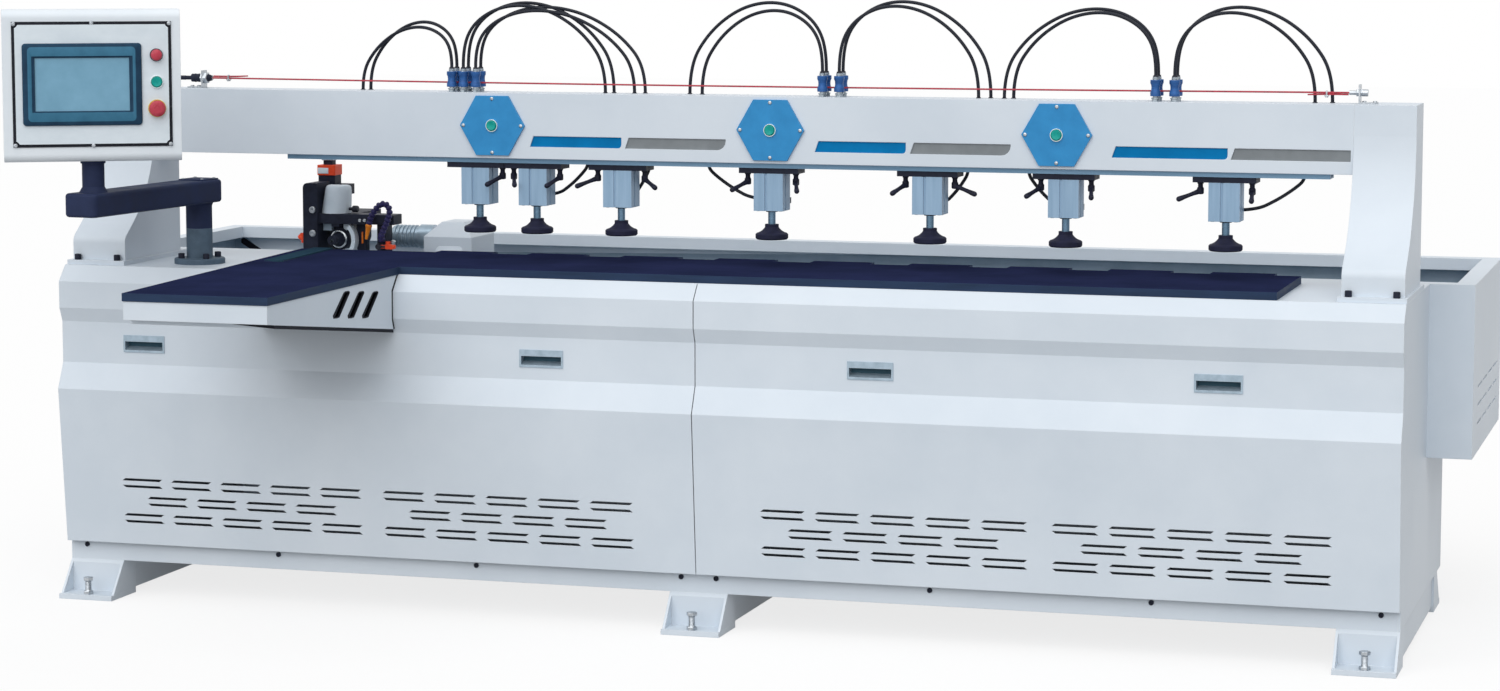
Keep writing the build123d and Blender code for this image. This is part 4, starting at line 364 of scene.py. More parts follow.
# Guideway: a coated box beam in the trough, with two hardened profile rails on it and a drive rack along it.
# The beam takes the darker dusted grey, partly dust and partly painted shade; the rails and the rack are
# ground and oiled.
# Ground steel: bright, with grinding marks along its length.
ground_steel = surface("ground_tool_steel", "#A3AAB2", "#858D96", 30, 0.3, metal=0.95, grit=1.2,
                       relief=0.05, edge=0.6, grain=(0.06, 1, 1))
RAIL_FOOT_Z = 541
RACK_BACK_Y = 659.5
dress("x_guideway", dust_and_shade, ground_steel, pick=lambda middle: middle.z > RAIL_FOOT_Z or middle.y < RACK_BACK_Y)


# Work table: a thick board with a dark blue phenolic film pressed on both faces, tabs along its rear edge and
# an infeed extension; the fence strip is let into it. Edges are sealed with the same dark lacquer.
# Phenolic film: deep violet blue, matt, with a faint mesh print (about 1 mm, drawn at 4 mm) and hand smears.
film = surface("phenolic_film_faced_board", "#292F50", "#232945", 160, 0.7, shine=0.0, grit=4, relief=0.06,
               edge=1.2, edge_wear_and_highlight="#3A4564")
# Sealed edge: bluer and duller lacquer soaked into the cut layers, which run along the edge.
edge_seal = surface("lacquered_board_edge", "#2C3D59", "#25344C", 14, 0.6, shine=0.1, grit=2, relief=0.08,
                    edge=1.0, edge_wear_and_highlight="#41577A", grain=(0.1, 0.1, 1))
# Fence strip: dark teal high-density plastic, planed smooth along its length.
strip_teal = surface("planed_polyethylene_dark_teal", "#304A5B", "#283F4E", 40, 0.6, shine=0.0, grit=3,
                     relief=0.04, edge=0.8, edge_wear_and_highlight="#4C7080", grain=(1, 0.1, 1))
UPPER_FILM_Z = 837
LOWER_FILM_Z = 821
FENCE_SEAT_Z = (837.3, 837.95)
FENCE_FOOT_Z = 838.2


def table_skin(middle):
    """The fence strip stands above the film, which covers both faces; cut edges are sealed."""
    if middle.z > FENCE_FOOT_Z or FENCE_SEAT_Z[0] < middle.z < FENCE_SEAT_Z[1]:
        return 2
    return 0 if middle.z > UPPER_FILM_Z or middle.z < LOWER_FILM_Z else 1


dress("work_table", film, edge_seal, strip_teal, pick=table_skin)


# Table bracket: a folded sheet wedge with slanted slots that carries the infeed extension, closed below by
# a sole painted black as shade under the bracket, and set against the panel with a black rubber gasket; the
# slots have rubber edging.
bracket_low, bracket_high = reach("table_bracket")
BRACKET_MIDDLE = (bracket_low.x + bracket_high.x) / 2
SLOT_WALL = (bracket_high.x - bracket_low.x) / 2 - 2
SLOT_LOW_Z = 725
SLOT_HIGH_Z = 812
SOLE_NOSE_Y = -673
SOLE_FRONT_Z = 778
SOLE_SLOPE = 86 / 704
SOLE_END = ((-851, 773.4), (-749, 773.4), (-749, 765.8), (-800, 769.4))
SOLE_END_Y = (-674.8, -673.8)
GASKET_Y = -5
GASKET_TOP_Z = 783
GASKET_LIP_Y = -8.2
GASKET_BEND_Z = 780
GASKET_BEND_SLOPE = 0.8
SLOT_PLACES = ((-104, 790), (-188, 798.5), (-272, 807))
EDGING_OUTSIDE = ((14.5, -3), (9, 2.6), (-10, 3.4), (-20, 1), (-83, -46), (-80, -52.6), (-62, -53.8),
                  (-47, -53.4))
EDGING_INSIDE = ((14, 0), (6, 0), (-6, 0), (-14, 0), (-72, -48.5), (-75, -51), (-62, -51), (-47, -51))
EDGING_SUNK = -0.2
EDGING_PROUD = 0.8


def bracket_skin(middle):
    """The sole is painted black as shade under the bracket, the gasket and the slots' edges are black; the
    shell and the sole's nose are coated.
    """
    in_wall = abs(abs(middle.x - BRACKET_MIDDLE) - SLOT_WALL) < 1.5
    slot_edge = in_wall and SLOT_LOW_Z < middle.z < SLOT_HIGH_Z
    sole_top = SOLE_FRONT_Z - SOLE_SLOPE * (middle.y - bracket_low.y)
    sole = middle.y > SOLE_NOSE_Y and middle.z < sole_top - 0.4
    gasket = middle.y > GASKET_Y and middle.z < GASKET_TOP_Z
    gasket_lip = middle.y > GASKET_LIP_Y + max(0, middle.z - GASKET_BEND_Z) * GASKET_BEND_SLOPE
    return sole or gasket or gasket_lip or slot_edge


dress("table_bracket", paint, rubber, pick=bracket_skin)
form = bmesh.new()
for face_x, way in ((bracket_high.x, 1), (bracket_low.x, -1)):
    for slot_y, slot_z in SLOT_PLACES:
        rings = []
        for outline, height in ((EDGING_OUTSIDE, EDGING_SUNK), (EDGING_OUTSIDE, EDGING_PROUD),
                                (EDGING_INSIDE, EDGING_PROUD), (EDGING_INSIDE, EDGING_SUNK)):
            x = face_x + way * height
            rings.append([form.verts.new((x, slot_y + along, slot_z + up)) for along, up in outline])
        rings_to_faces(form, rings, 0, closed=True)
# A black wedge at the sole's front end is painted shade where the underside shows.
prism(form, SOLE_END, *SOLE_END_Y, 0.2)
piece("slot_edging", "machine_bed", form, "black_plastic", rubber)


# Beam columns: two hollow sheet columns with an S-shaped front, welded to bolted base plates.
# Seams are ground flush before coating.
dress("beam_columns", paint)


# Clamp beam: a rectangular steel tube between the columns that takes the clamps' thrust.
# It is slotted and bored in one setting, welded to end plates and coated like the columns.
dress("clamp_beam", paint)
beam_low, beam_high = reach("clamp_beam")
BEAM_MIDDLE = (beam_low.y + beam_high.y) / 2
BEAM_TOP = beam_high.z


# Clamp rail: a cold-drawn flat steel bar under the beam with a T-slot along its underside.
# Drawn bar: blue-grey, with die lines along its whole length.
drawn_steel = surface("cold_drawn_steel_bar", "#7A9BB5", "#688AA5", 22, 0.42, metal=0.35, shine=0.3, grit=2,
                      relief=0.06, edge=0.8, edge_wear_and_highlight="#9FB8CB", grain=(0.05, 1, 1))
dress("clamp_rail", drawn_steel)


# Beam trim: blue moulded hexagon covers screwed over the button boxes, with turned rings,
# and coloured strips let into the beam's slots, blue and grey by turns.
# Blue moulding: even satin ABS with a fine spark-eroded texture and paler edges, partly from wear and partly
# a painted highlight.
blue_abs = surface("moulded_abs_blue", "#2F8DC8", "#2884BE", 40, 0.42, shine=0.3, grit=2.5, relief=0.05,
                   edge=1.6, edge_wear_and_highlight="#7FB8DD")
# Acrylic strips: saturated colour through the sheet, satin, in blue and in a neutral grey.
strip_blue = surface("acrylic_strip_blue", "#0878B4", "#066EA7", 60, 0.45, shine=0.05, grit=3, relief=0.03,
                     edge=0.8)
strip_grey = surface("acrylic_strip_grey", "#83898D", "#797F83", 60, 0.42, shine=0.2, grit=3, relief=0.03,
                     edge=0.8)
# Chromed ring: bright, almost white, slightly hazed.
chrome = surface("bright_chrome_plate", "#E2E6E9", "#CFD5DA", 12, 0.16, metal=0.95, grit=1.5, relief=0.01,
                 edge=0.5)
HEX_X = (-584, 116, 804)
HEX_Z = 1167
COVER_FACE_Y = 234
RING_RADIUS = 15.3
GREY_STRIPS = ((-250, 8), (452, 698), (1203, 1480))
COVER_SCREW = [(4.6, 0), (4.4, 1.4), (3.4, 2.4), (1.6, 2.8), (1.3, 1.4), (0, 1.3)]
COVER_SCREW_PLACES = ((0, 65), (0, -65), (74, 0), (-74, 0))


def trim_skin(middle):
    """Rings by their distance from a button, covers by their depth, strips by their place along the beam."""
    if middle.y < beam_low.y + 0.5:
        near = min(math.hypot(middle.x - x, middle.z - HEX_Z) for x in HEX_X)
        return 1 if near < RING_RADIUS and middle.y < COVER_FACE_Y + 0.1 else 0
    return 3 if any(left < middle.x < right for left, right in GREY_STRIPS) else 2


dress("beam_trim", blue_abs, chrome, strip_blue, strip_grey, pick=trim_skin)
form = bmesh.new()
for x in HEX_X:
    for shift, lift in COVER_SCREW_PLACES:
        turned(form, COVER_SCREW, (x + shift, COVER_FACE_Y, HEX_Z + lift), (0, -1, 0), sides=16)
piece("cover_screws", "machine_bed", form, "steel", zinc)


# Beam buttons: green moulded caps with a shallow dish for the finger, each on a plunger in its ring;
# a thin collar of the same green is pressed into the ring round it.
# Green plastic: smooth moulding with a soft gloss.
green = surface("moulded_polycarbonate_green", "#0BA398", "#07968D", 10, 0.32, shine=0.25, grit=2,
                relief=0.01, edge=0.6)
BUTTON_CAP = [(0, 1.4), (5, 1.0), (8.6, 0.25), (10.4, 0), (11.2, 0.5), (11.5, 1.6), (11.5, 22)]
BUTTON_COLLAR = [(12.1, 0), (12.1, 0.6), (13.2, 0.6), (13.5, 0)]
BUTTON_SIDES = 48
CAP_FACE_Y = reach("beam_button_1")[0].y
RING_FACE_Y = reach("beam_trim")[0].y
for number, x in enumerate(HEX_X, 1):
    form = bmesh.new()
    turned(form, BUTTON_CAP, (x, CAP_FACE_Y, HEX_Z), (0, 1, 0), sides=BUTTON_SIDES)
    cap = piece(f"beam_button_cap_{number}", f"beam_button_{number}", form, "green_plastic", green)
    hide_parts(f"beam_button_{number}")
form = bmesh.new()
for x in HEX_X:
    turned(form, BUTTON_COLLAR, (x, RING_FACE_Y, HEX_Z), (0, -1, 0), sides=BUTTON_SIDES, closed=True)
piece("button_collars", "machine_bed", form, "green_plastic", green)


# Clamps: a black carrier plate hung in the rail's T-slot, and a compact air cylinder of drawn aluminium
# profile with sensor grooves, end caps held by four screws, a rod gland and a push-in air fitting.
# Anodised profile: cool silver, with faint extrusion lines up the cylinder.
anodised = surface("anodised_aluminium_profile", "#9AB6CF", "#8BA8C2", 16, 0.45, metal=0.1, shine=0.2,
                   grit=1.6, relief=0.05, edge=0.9, edge_wear_and_highlight="#B3C8DA", grain=(1, 1, 0.06))
# Black nylon: satin moulding of fittings and seals.
nylon = surface("moulded_nylon_black", "#282A36", "#1F202A", 12, 0.5, shine=0.25, grit=1.5, relief=0.03,
                edge=0.6, edge_wear_and_highlight="#434754")
# Nickel plate: cool, slightly hazed metal on turned brass.
nickel = surface("nickel_plated_brass", "#AEB7BE", "#8E989F", 8, 0.28, metal=0.9, grit=1.2, relief=0.02,
                 edge=0.5)
CLAMP_X = [sum(corner.x for corner in reach(f"clamp_{number}")) / 2 for number in range(1, 8)]
CYLINDER_FOOT = reach("clamp_1")[0].z
# Clamp 1 has no elbow, so its box ends at the cylinder's rear face.
CYLINDER_REAR = reach("clamp_1")[1].y
CARRIER_FOOT = 1063
NUT_FOOT = reach("clamp_rail")[0].z
CAP_SCREWS_X = (-27, 27)
CAP_SCREWS_Y = (-22, 22)
ROD_GLAND = [(14.5, 0), (14.5, 2.6), (13.4, 3.6), (9.7, 3.6), (9.7, 0)]
ELBOW_NUT = [(9.4, 0), (9.4, 3.2), (8.6, 4)]
ELBOW_COLLET = [(6.2, 0), (6.2, 1.6), (5.4, 2.4), (4.3, 2.6), (4.3, 0)]
ELBOW_SHIFT = 23
ELBOW_TOP_Z = 1005
PORT_SHIFT = 12
PORT_Y = 326
PORT_Z = 995.4
# The way that each cylinder's elbow points along the beam; clamp 1 has none.
PORT_SIDES = (0, 1, 1, -1, 1, -1, 1)


def clamp_skin(middle):
    """Air elbow behind the cylinder, zinc nuts in the slot, black carrier, and the profile itself."""
    if middle.y > CYLINDER_REAR + 0.3 and middle.z < ELBOW_TOP_Z:
        return 3
    if middle.z > NUT_FOOT + 0.2:
        return 2
    return 1 if middle.z > CARRIER_FOOT else 0


for number, (x, side) in enumerate(zip(CLAMP_X, PORT_SIDES), 1):
    dress(f"clamp_{number}", anodised, black_oxide, zinc, nylon, pick=clamp_skin)
    form = bmesh.new()
    for across in CAP_SCREWS_X:
        for back in CAP_SCREWS_Y:
            socket_screw(form, (x + across, BEAM_MIDDLE + back, CYLINDER_FOOT), (0, 0, -1), 4.6, 0.9)
    turned(form, ROD_GLAND, (x, BEAM_MIDDLE, CYLINDER_FOOT), (0, 0, -1), closed=True)
    if side:
        turned(form, ELBOW_NUT, (x - side * ELBOW_SHIFT, CYLINDER_REAR, PORT_Z), (0, 1, 0), 1, 6)
        turned(form, ELBOW_COLLET, (x - side * PORT_SHIFT, PORT_Y, PORT_Z), (side, 0, 0), closed=True)
    piece(f"cylinder_fittings_{number}", f"clamp_{number}", form, "black_plastic", nylon, nickel)


# Clamp rods: ground and hard-chromed piston rods, each screwed into a turned foot that presses the work.
# The foot is cast in a blue-black rubber, so that it leaves no mark on a lacquered panel.
# Hard chrome: a darker mirror than bright chrome, with fine grinding marks round the rod.
rod_chrome = surface("hard_chromed_piston_rod", "#6A869D", "#587489", 14, 0.28, metal=0.9, grit=1.2,
                     relief=0.02, edge=0.5, grain=(0.3, 0.3, 1))
# Foot rubber: matt and slightly mottled, paler along its edges, partly from wear and partly a painted
# highlight.
foot_rubber = surface("cast_rubber_blue_black", "#26283F", "#1E2033", 16, 0.7, shine=0.15, grit=1.5,
                      relief=0.06, edge=0.8, edge_wear_and_highlight="#3A3D56")
FOOT_TOP = 941.2
for number in range(1, 8):
    dress(f"clamp_rod_{number}", rod_chrome, foot_rubber, pick=lambda middle: middle.z < FOOT_TOP)


# Clamping levers: zinc die-cast handles with a black textured coat, on a splined hub with a zinc bolt
# through it. They point forward and down, each turned as it was last tightened.
# Textured coat: matt black crackle, grey along its edges, partly wear as at the grip and partly a painted
# highlight.
crackle = surface("black_crackle_coated_die_casting", "#25273A", "#1A1B29", 14, 0.6, shine=0.2, grit=1.6,
                  relief=0.12, edge=0.8, edge_wear_and_highlight="#3B3E52")


def pipe(form, path, radii, skin=0, sides=14):
    """A round bar in mm along a path of points, with its radius at each; a radius of 0 is a tip."""
    points = [Vector(point) for point in path]
    ends = list(zip(points[:1] + points[:-1], points[1:] + points[-1:]))
    ways = [(after - before).normalized() for before, after in ends]
    across = ways[0].orthogonal().normalized()
    rings = []
    for point, way, radius in zip(points, ways, radii):
        across = (across - way * across.dot(way)).normalized()
        beside = way.cross(across)
        angles = [2 * math.pi * index / sides for index in range(sides if radius else 1)]
        steps = [radius * (across * math.cos(angle) + beside * math.sin(angle)) for angle in angles]
        rings.append([form.verts.new(point + step) for step in steps])
    rings_to_faces(form, rings, skin)


LEVER_HEIGHT = 29
LEVER_SLOPE = math.radians(18)
# How far each lever is turned about its bolt, in degrees.
LEVER_TURNS = {"1_right": -22.6, "2_left": 22, "2_right": -16, "3_left": -46, "3_right": 45, "4_left": -26,
               "4_right": 18, "5_left": -20, "5_right": 70, "6_left": -25, "6_right": 11, "7_left": -54,
               "7_right": 7}
LEVER_HUB = [(6, 0.6), (7.4, 1.6), (8, 3.2), (8, 14), (6.6, 16), (5.8, 17.5), (5.8, 24), (7.5, 25),
             (7.5, LEVER_HEIGHT)]
LEVER_BOLT = [(0, 0), (3.9, 0), (4.6, 0.8), (4.6, 2.4)]
GRIP_LIFT = 8
LEVER_GRIP = ((0, 6.6), (8, 6.2), (16, 5.2), (27, 4.7), (40, 5.1), (51, 6.0), (57, 6.3), (60.5, 5.5),
              (62.6, 3.4), (63.2, 0))
downward = Vector((0, -math.cos(LEVER_SLOPE), -math.sin(LEVER_SLOPE)))
for place, turn in LEVER_TURNS.items():
    node = f"clamp_{place}_lever"
    hub = pivot(f"{node}_turn") - Vector((0, 0, LEVER_HEIGHT))
    way = Matrix.Rotation(math.radians(turn), 3, "Z") @ downward
    form = bmesh.new()
    turned(form, LEVER_HUB, hub)
    turned(form, LEVER_BOLT, hub, skin=1, sides=6)
    grip = [hub + Vector((0, 0, GRIP_LIFT)) + way * along for along, _ in LEVER_GRIP]
    pipe(form, grip, [radius for _, radius in LEVER_GRIP])
    lever = piece(f"lever_{place}", node, form, "black_plastic", crackle, zinc)
    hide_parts(node)


# Slide valves: hand-operated air valves screwed into the beam's top in two rows, a nickel base and union
# with a blue anodised sleeve that is gripped at its waist and slid up or down.
# Blue anodising: deep metallic blue with fine turning marks round the sleeve.
blue_sleeve = surface("blue_anodised_aluminium", "#2C5F9F", "#234E88", 9, 0.4, metal=0.2, shine=0.3, grit=1.2,
                      relief=0.05, edge=0.6, edge_wear_and_highlight="#5F86BE", grain=(0.3, 0.3, 1.5))
VALVE_X = (-700, -670, -638, 235, 276, 1027, 1071)
VALVE_Y = (268, 302)
VALVE_NUT = [(9, 0), (9, 5.4), (8, 6.2)]
VALVE_BASE = [(10, 6), (10, 8.6), (6.6, 9), (6.6, 12.2)]
VALVE_SLEEVE = [(6.4, 12), (11.6, 12), (12.4, 13), (12.4, 20.5), (10.4, 25), (9.8, 31), (10.4, 37),
                (12.4, 41.5), (12.4, 48.4), (11.6, 49.4), (6.4, 49.4)]
VALVE_UNION = [(7.6, 49), (7.6, 50.6), (6.8, 51.2), (7.6, 51.8), (7.6, 53.4), (6.8, 54), (7.2, 54.6),
               (7.2, 56)]
VALVE_COLLET = [(6.2, 56), (6.2, 58.6), (5.4, 59.6), (4.2, 60), (4.2, 56)]
VALVE_HEIGHT = 60
form = bmesh.new()
for x in VALVE_X:
    for y in VALVE_Y:
        foot = (x, y, BEAM_TOP)
        turned(form, VALVE_NUT, foot, sides=6)
        turned(form, VALVE_BASE, foot)
        turned(form, VALVE_SLEEVE, foot, skin=1)
        turned(form, VALVE_UNION, foot)
        turned(form, VALVE_COLLET, foot, skin=2, closed=True)
valves = piece("hand_slide_valves", "machine_bed", form, "valve", nickel, blue_sleeve, nylon)
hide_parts("slide_valves")


# Valve hoses: black polyurethane air hose, 8 mm across, that arches from each valve over to the back of
# the beam and down through a rubber grommet in its top.
# Polyurethane: smooth, with a soft gloss and faint die lines.
hose_skin = surface("black_polyurethane_hose", "#20242F", "#181B25", 30, 0.45, shine=0.2, grit=2, relief=0.02,
                    edge=0.4)


def route_curve(name, points, radius):
    """A smooth cord in metres: one open NURBS spline with these points, in mm, as its control points."""
    curve = bpy.data.curves.new(name, "CURVE")
    curve.dimensions = "3D"
    curve.bevel_depth = radius / 1000
    curve.bevel_resolution = 4
    curve.use_fill_caps = radius > 0
    spline = curve.splines.new("NURBS")
    spline.points.add(len(points) - 1)
    for knot, point in zip(spline.points, points):
        knot.co = [value / 1000 for value in point] + [1.0]
    spline.order_u = 3
    spline.use_endpoint_u = True
    spline.resolution_u = 12
    made = bpy.data.objects.new(name, curve)
    bpy.context.scene.collection.objects.link(made)
    return made


HOSE_RADIUS = 4
HOSE_ARCH = ((0, 0), (0, 0.3), (0.08, 0.66), (0.25, 0.93), (0.45, 1.04), (0.66, 0.99), (0.86, 0.76),
             (1, 0.38), (1, 0))
# Each hose of a pair: where it lands along the beam, how far behind the beam's face, its rise and its length.
HOSE_LANDINGS = (((-952, 72, 118, 403), (-934, 78, 130, 405)), ((-318, 64, 172, 568), (-300, 76, 178, 591)),
                 ((-246, 70, 160, 583), (-222, 80, 168, 614)), ((-74, 66, 164, 521), (-108, 76, 182, 576)),
                 ((603, 66, 176, 555), (630, 76, 186, 591)), ((684, 78, 164, 550), (664, 68, 172, 576)),
                 ((1386, 68, 166, 529), (1424, 78, 178, 578)))
GROMMET = [(6, 0), (6, 1), (5.2, 1.8), (4.2, 1.8), (4.2, 0)]
grommets = bmesh.new()
for number, (valve_x, pair) in enumerate(zip(VALVE_X, HOSE_LANDINGS), 1):
    for row, valve_y, (landing_x, back, rise, length) in zip(("front", "rear"), VALVE_Y, pair):
        landing_y = beam_low.y + back
        arch = [(valve_x + share * (landing_x - valve_x), valve_y + share * (landing_y - valve_y),
                 BEAM_TOP + VALVE_HEIGHT * (1 - share) + height * rise) for share, height in HOSE_ARCH]
        hose = route_curve(f"valve_hose_{number}_{row}", arch, HOSE_RADIUS)
        hose.data.materials.append(hose_skin)
        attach(hose, "machine_bed")
        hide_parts("valve_hoses")
        turned(grommets, GROMMET, (landing_x, landing_y, BEAM_TOP), closed=True)
piece("hose_grommets", "machine_bed", grommets, "black_plastic", rubber)


# Clamp hoses: short tails of the same hose from the beam's rear lower edge to six of the cylinders,
# long enough to follow a clamp as it is slid along the rail.
def read_route(points):
    """Points in mm along the smooth cord that has these control points."""
    guide = route_curve("hose_route", points, 0)
    line = bpy.data.meshes.new_from_object(guide)
    found = [vertex.co * 1000 for vertex in line.vertices]
    bpy.data.objects.remove(guide)
    return found


# For clamps 2 to 7: where the hose leaves the beam, and its length.
CLAMP_HOSES = ((-370, 176), (-212, 131), (-66, 223), (575, 147), (719, 160), (1364, 225))
HOSE_TAIL = ((0, 0), (0, 0.2), (0.12, 0.42), (0.34, 0.72), (0.62, 1), (1, 1))
for number, (outlet, length) in enumerate(CLAMP_HOSES, 2):
    port = CLAMP_X[number - 1] - PORT_SIDES[number - 1] * PORT_SHIFT
    drop = beam_low.z - PORT_Z
    line = read_route([(outlet + share * (port - outlet), PORT_Y, beam_low.z - drop * fall)
                       for share, fall in HOSE_TAIL])
    form = bmesh.new()
    pipe(form, line, [HOSE_RADIUS] * len(line), sides=12)
    tail = piece(f"clamp_hose_{number}", None, form, "hose_black", hose_skin)
    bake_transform(tail)
    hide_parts("clamp_hoses")


# Pull cord: red braided rope, 4 mm, stretched between a limit switch on the left and an eye bolt on the
# right, doubled back at each end and held by a wire rope clip.
# Braided polyester: twisted strands (about 3 mm, drawn at 7 mm so that they show), matt, slightly faded.
rope_red = surface("braided_polyester_rope_red", "#BC3A48", "#96283A", 7, 0.7, grit=2.2, relief=0.4, edge=0.4)
CORD_Z = BEAM_TOP + 25
ROPE_RADIUS = 2
ROPE_SAG = ((-1344, 0), (-1320, 0), (-700, 3), (0, 4), (700, 3), (1442, 0), (1466, 0))
ROPE_TAILS = (((-1342, 4.4), (-1301, 4.2), (-1275, 4.6), (-1249, 6)),
              ((1464, -4.2), (1415, -4), (1392, -4.6), (1372, -5.6)))
ROPE_CLIPS = ((-1301, CORD_Z + 2), (1415, CORD_Z - 2))
CLIP_NUT = [(2.9, 0), (2.9, 2.4), (2.4, 2.8)]
ROPE = [(x, BEAM_MIDDLE, CORD_Z - sag) for x, sag in ROPE_SAG]
rope = route_curve("red_pull_rope", ROPE, ROPE_RADIUS)
rope.data.materials.append(rope_red)
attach(rope, "machine_bed")
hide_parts("pull_rope")
form = bmesh.new()
for tail in ROPE_TAILS:
    radii = [ROPE_RADIUS] * 3 + [1.6]
    pipe(form, [(x, BEAM_MIDDLE, CORD_Z + lift) for x, lift in tail], radii, sides=10)
tails = piece("rope_tails", "machine_bed", form, "rope_red", rope_red)


def slab(form, low, high, edge=1.0, skin=0):
    """A plate or block in mm between two corners, its edges rounded over."""
    corners = bmesh.ops.create_cube(form, size=1.0)["verts"]
    for corner in corners:
        corner.co = [start + (end - start) * (share + 0.5) for start, end, share in zip(low, high, corner.co)]
        for face in corner.link_faces:
            face.material_index = skin
    edges = list(dict.fromkeys(line for corner in corners for line in corner.link_edges))
    bmesh.ops.bevel(form, geom=edges, offset=edge, segments=2, profile=0.6, affect="EDGES")


form = bmesh.new()
for x, middle in ROPE_CLIPS:
    slab(form, (x - 5, BEAM_MIDDLE - 5.5, middle - 7), (x + 5, BEAM_MIDDLE + 5.5, middle - 3.6), 0.8)
    slab(form, (x - 2.2, BEAM_MIDDLE - 3.5, middle - 4), (x + 2.2, BEAM_MIDDLE + 3.5, middle + 6.4), 1.6)
    for back in (-4, 4):
        turned(form, CLIP_NUT, (x, BEAM_MIDDLE + back, middle - 6.8), (0, 0, -1), sides=6)
clips = piece("rope_clips", "machine_bed", form, "steel", zinc)


# Pull cord hardware: zinc-plated angle brackets screwed to the beam, a black switch barrel with its plunger,
# turned ferrules and the lock nuts of the eye bolt.
SWITCH_RIGHT_X = -1370.2
SWITCH_LOW_Z = 1255
# Hexagon nuts along the cord: their place, the way they face, their corner radius and their thickness.
CORD_NUTS = ((-1366, 1, 15, 9), (-1370, -1, 13, 5), (1488, -1, 9, 6), (1492, 1, 9, 5))
BOOT_X = -1366
SWITCH_BOOT = [(9.5, 8), (9.5, 11), (7.5, 13.5), (8.2, 15), (6.4, 17.5), (6.8, 19), (5.4, 21.5)]
PLUNGER_X = -1417.5
SWITCH_PLUNGER = [(5.4, 0), (5.4, 24), (4.6, 25)]
SWITCH_RING_X = (-1379, -1389)
SWITCH_RING = [(9.6, 0), (10.6, 0.8), (10.6, 3.2), (9.6, 4)]
ANGLE_SCREW_X = (-1400, -1382, 1500, 1524)
ANGLE_SCREW = [(5, 0), (5, 1.6), (4, 2.8), (2, 3), (1.8, 1.6), (0, 1.5)]
ANGLE_SHEET = 4


def cord_metal(middle):
    """The switch barrel and its plunger are black; the rest is zinc."""
    return middle.x < SWITCH_RIGHT_X and middle.z > SWITCH_LOW_Z


dress("pull_cord_hardware", zinc, black_oxide, pick=cord_metal)
form = bmesh.new()
for x, way, corner, thick in CORD_NUTS:
    nut = [(corner, 0), (corner, thick - 1), (corner * 0.88, thick)]
    turned(form, nut, (x, BEAM_MIDDLE, CORD_Z), (way, 0, 0), sides=6)
turned(form, SWITCH_BOOT, (BOOT_X, BEAM_MIDDLE, CORD_Z), (1, 0, 0), 1)
for x in ANGLE_SCREW_X:
    turned(form, ANGLE_SCREW, (x, BEAM_MIDDLE, BEAM_TOP + ANGLE_SHEET), sides=16)
turned(form, SWITCH_PLUNGER, (PLUNGER_X, BEAM_MIDDLE, CORD_Z), (-1, 0, 0), 1, 16)
for x in SWITCH_RING_X:
    turned(form, SWITCH_RING, (x, BEAM_MIDDLE, CORD_Z), (-1, 0, 0), skin=1)
piece("cord_nuts", "machine_bed", form, "steel", zinc, black_oxide)


# Arm post: a grey iron casting, flange and post in one, bolted to the deck; the arm's sleeve turns on it.
# Cast iron under thin grey paint: pitted by the sand mould, dark in the pits.
cast = surface("painted_grey_iron_casting", "#566879", "#495A69", 26, 0.6, shine=0.2, grit=4, relief=0.35,
               edge=2.0, edge_wear_and_highlight="#687B8B")
dress("arm_post", cast)


# Swing arm: a rounded aluminium box arm with a dark blue-grey coat, its sleeve on the post and the upright
# that carries the control box; a small cap covers the pivot.
# Fine-textured coat: deep blue grey, eggshell.
arm_coat = surface("textured_powder_coat_dark_blue", "#2D3653", "#262E48", 60, 0.6, shine=0.1, grit=2,
                   relief=0.08, edge=2.0, edge_wear_and_highlight="#3D4766")
dress("swing_arm", arm_coat)
ARM_TURN = math.radians(-6.3)
ARM_TOP = 1025
PIVOT_CAP = ((-35, -36, ARM_TOP), (35, 36, ARM_TOP + 4))
PIVOT_SCREW_X = (-27, 27)
PIVOT_SCREW_Y = (-28, 28)
arm_place = Matrix.Translation((POST.x, POST.y, 0)) @ Matrix.Rotation(ARM_TURN, 4, "Z")
form = bmesh.new()
slab(form, *PIVOT_CAP, 1.4)
for across in PIVOT_SCREW_X:
    for along in PIVOT_SCREW_Y:
        socket_screw(form, (across, along, ARM_TOP + 3.6), (0, 0, 1), 3.6, 2.4, 1)
piece("arm_pivot_cap", "swing_arm", form, "arm_paint", arm_coat, zinc, place=arm_place)


# Control box: a folded sheet case, open at the front, coated white, on a swivel collar coated like the arm.
# The rear cover is a plain plate on four screws.
# White coat: the same powder as on the bed in a cleaner, whiter shade.
case_paint = surface("powder_coated_steel_white", "#E6EDF3", "#E0E8EF", 160, 0.45, shine=0.3, grit=4,
                     relief=0.06, edge=2.0, edge_wear_and_highlight="#F0F4F8")
BOX_Z = sum(corner.z for corner in reach("control_faceplate")) / 2
BOX_TURN = math.radians(29.3)
COLLAR_TOP = 1100.8
COVER_Z = BOX_Z - 4
REAR_COVER = ((-185, 59.6, COVER_Z - 160), (185, 61.6, COVER_Z + 160))
BOX_SCREW_X = (-174, 174)
BOX_SCREW_Y = 61.4
BOX_SCREW_Z = (-149, 149)
BOX_SCREW = [(5, 0), (4.8, 1.4), (3.4, 2.6), (1.9, 2.8), (1.7, 1.4), (0, 1.3)]
box_pivot = pivot("panel_swivel")
box_place = Matrix.Translation((box_pivot.x, box_pivot.y, 0)) @ Matrix.Rotation(BOX_TURN, 4, "Z")
to_box = box_place.inverted()
dress("control_box", case_paint, arm_coat, pick=lambda middle: middle.z < COLLAR_TOP)
form = bmesh.new()
slab(form, *REAR_COVER, 0.8)
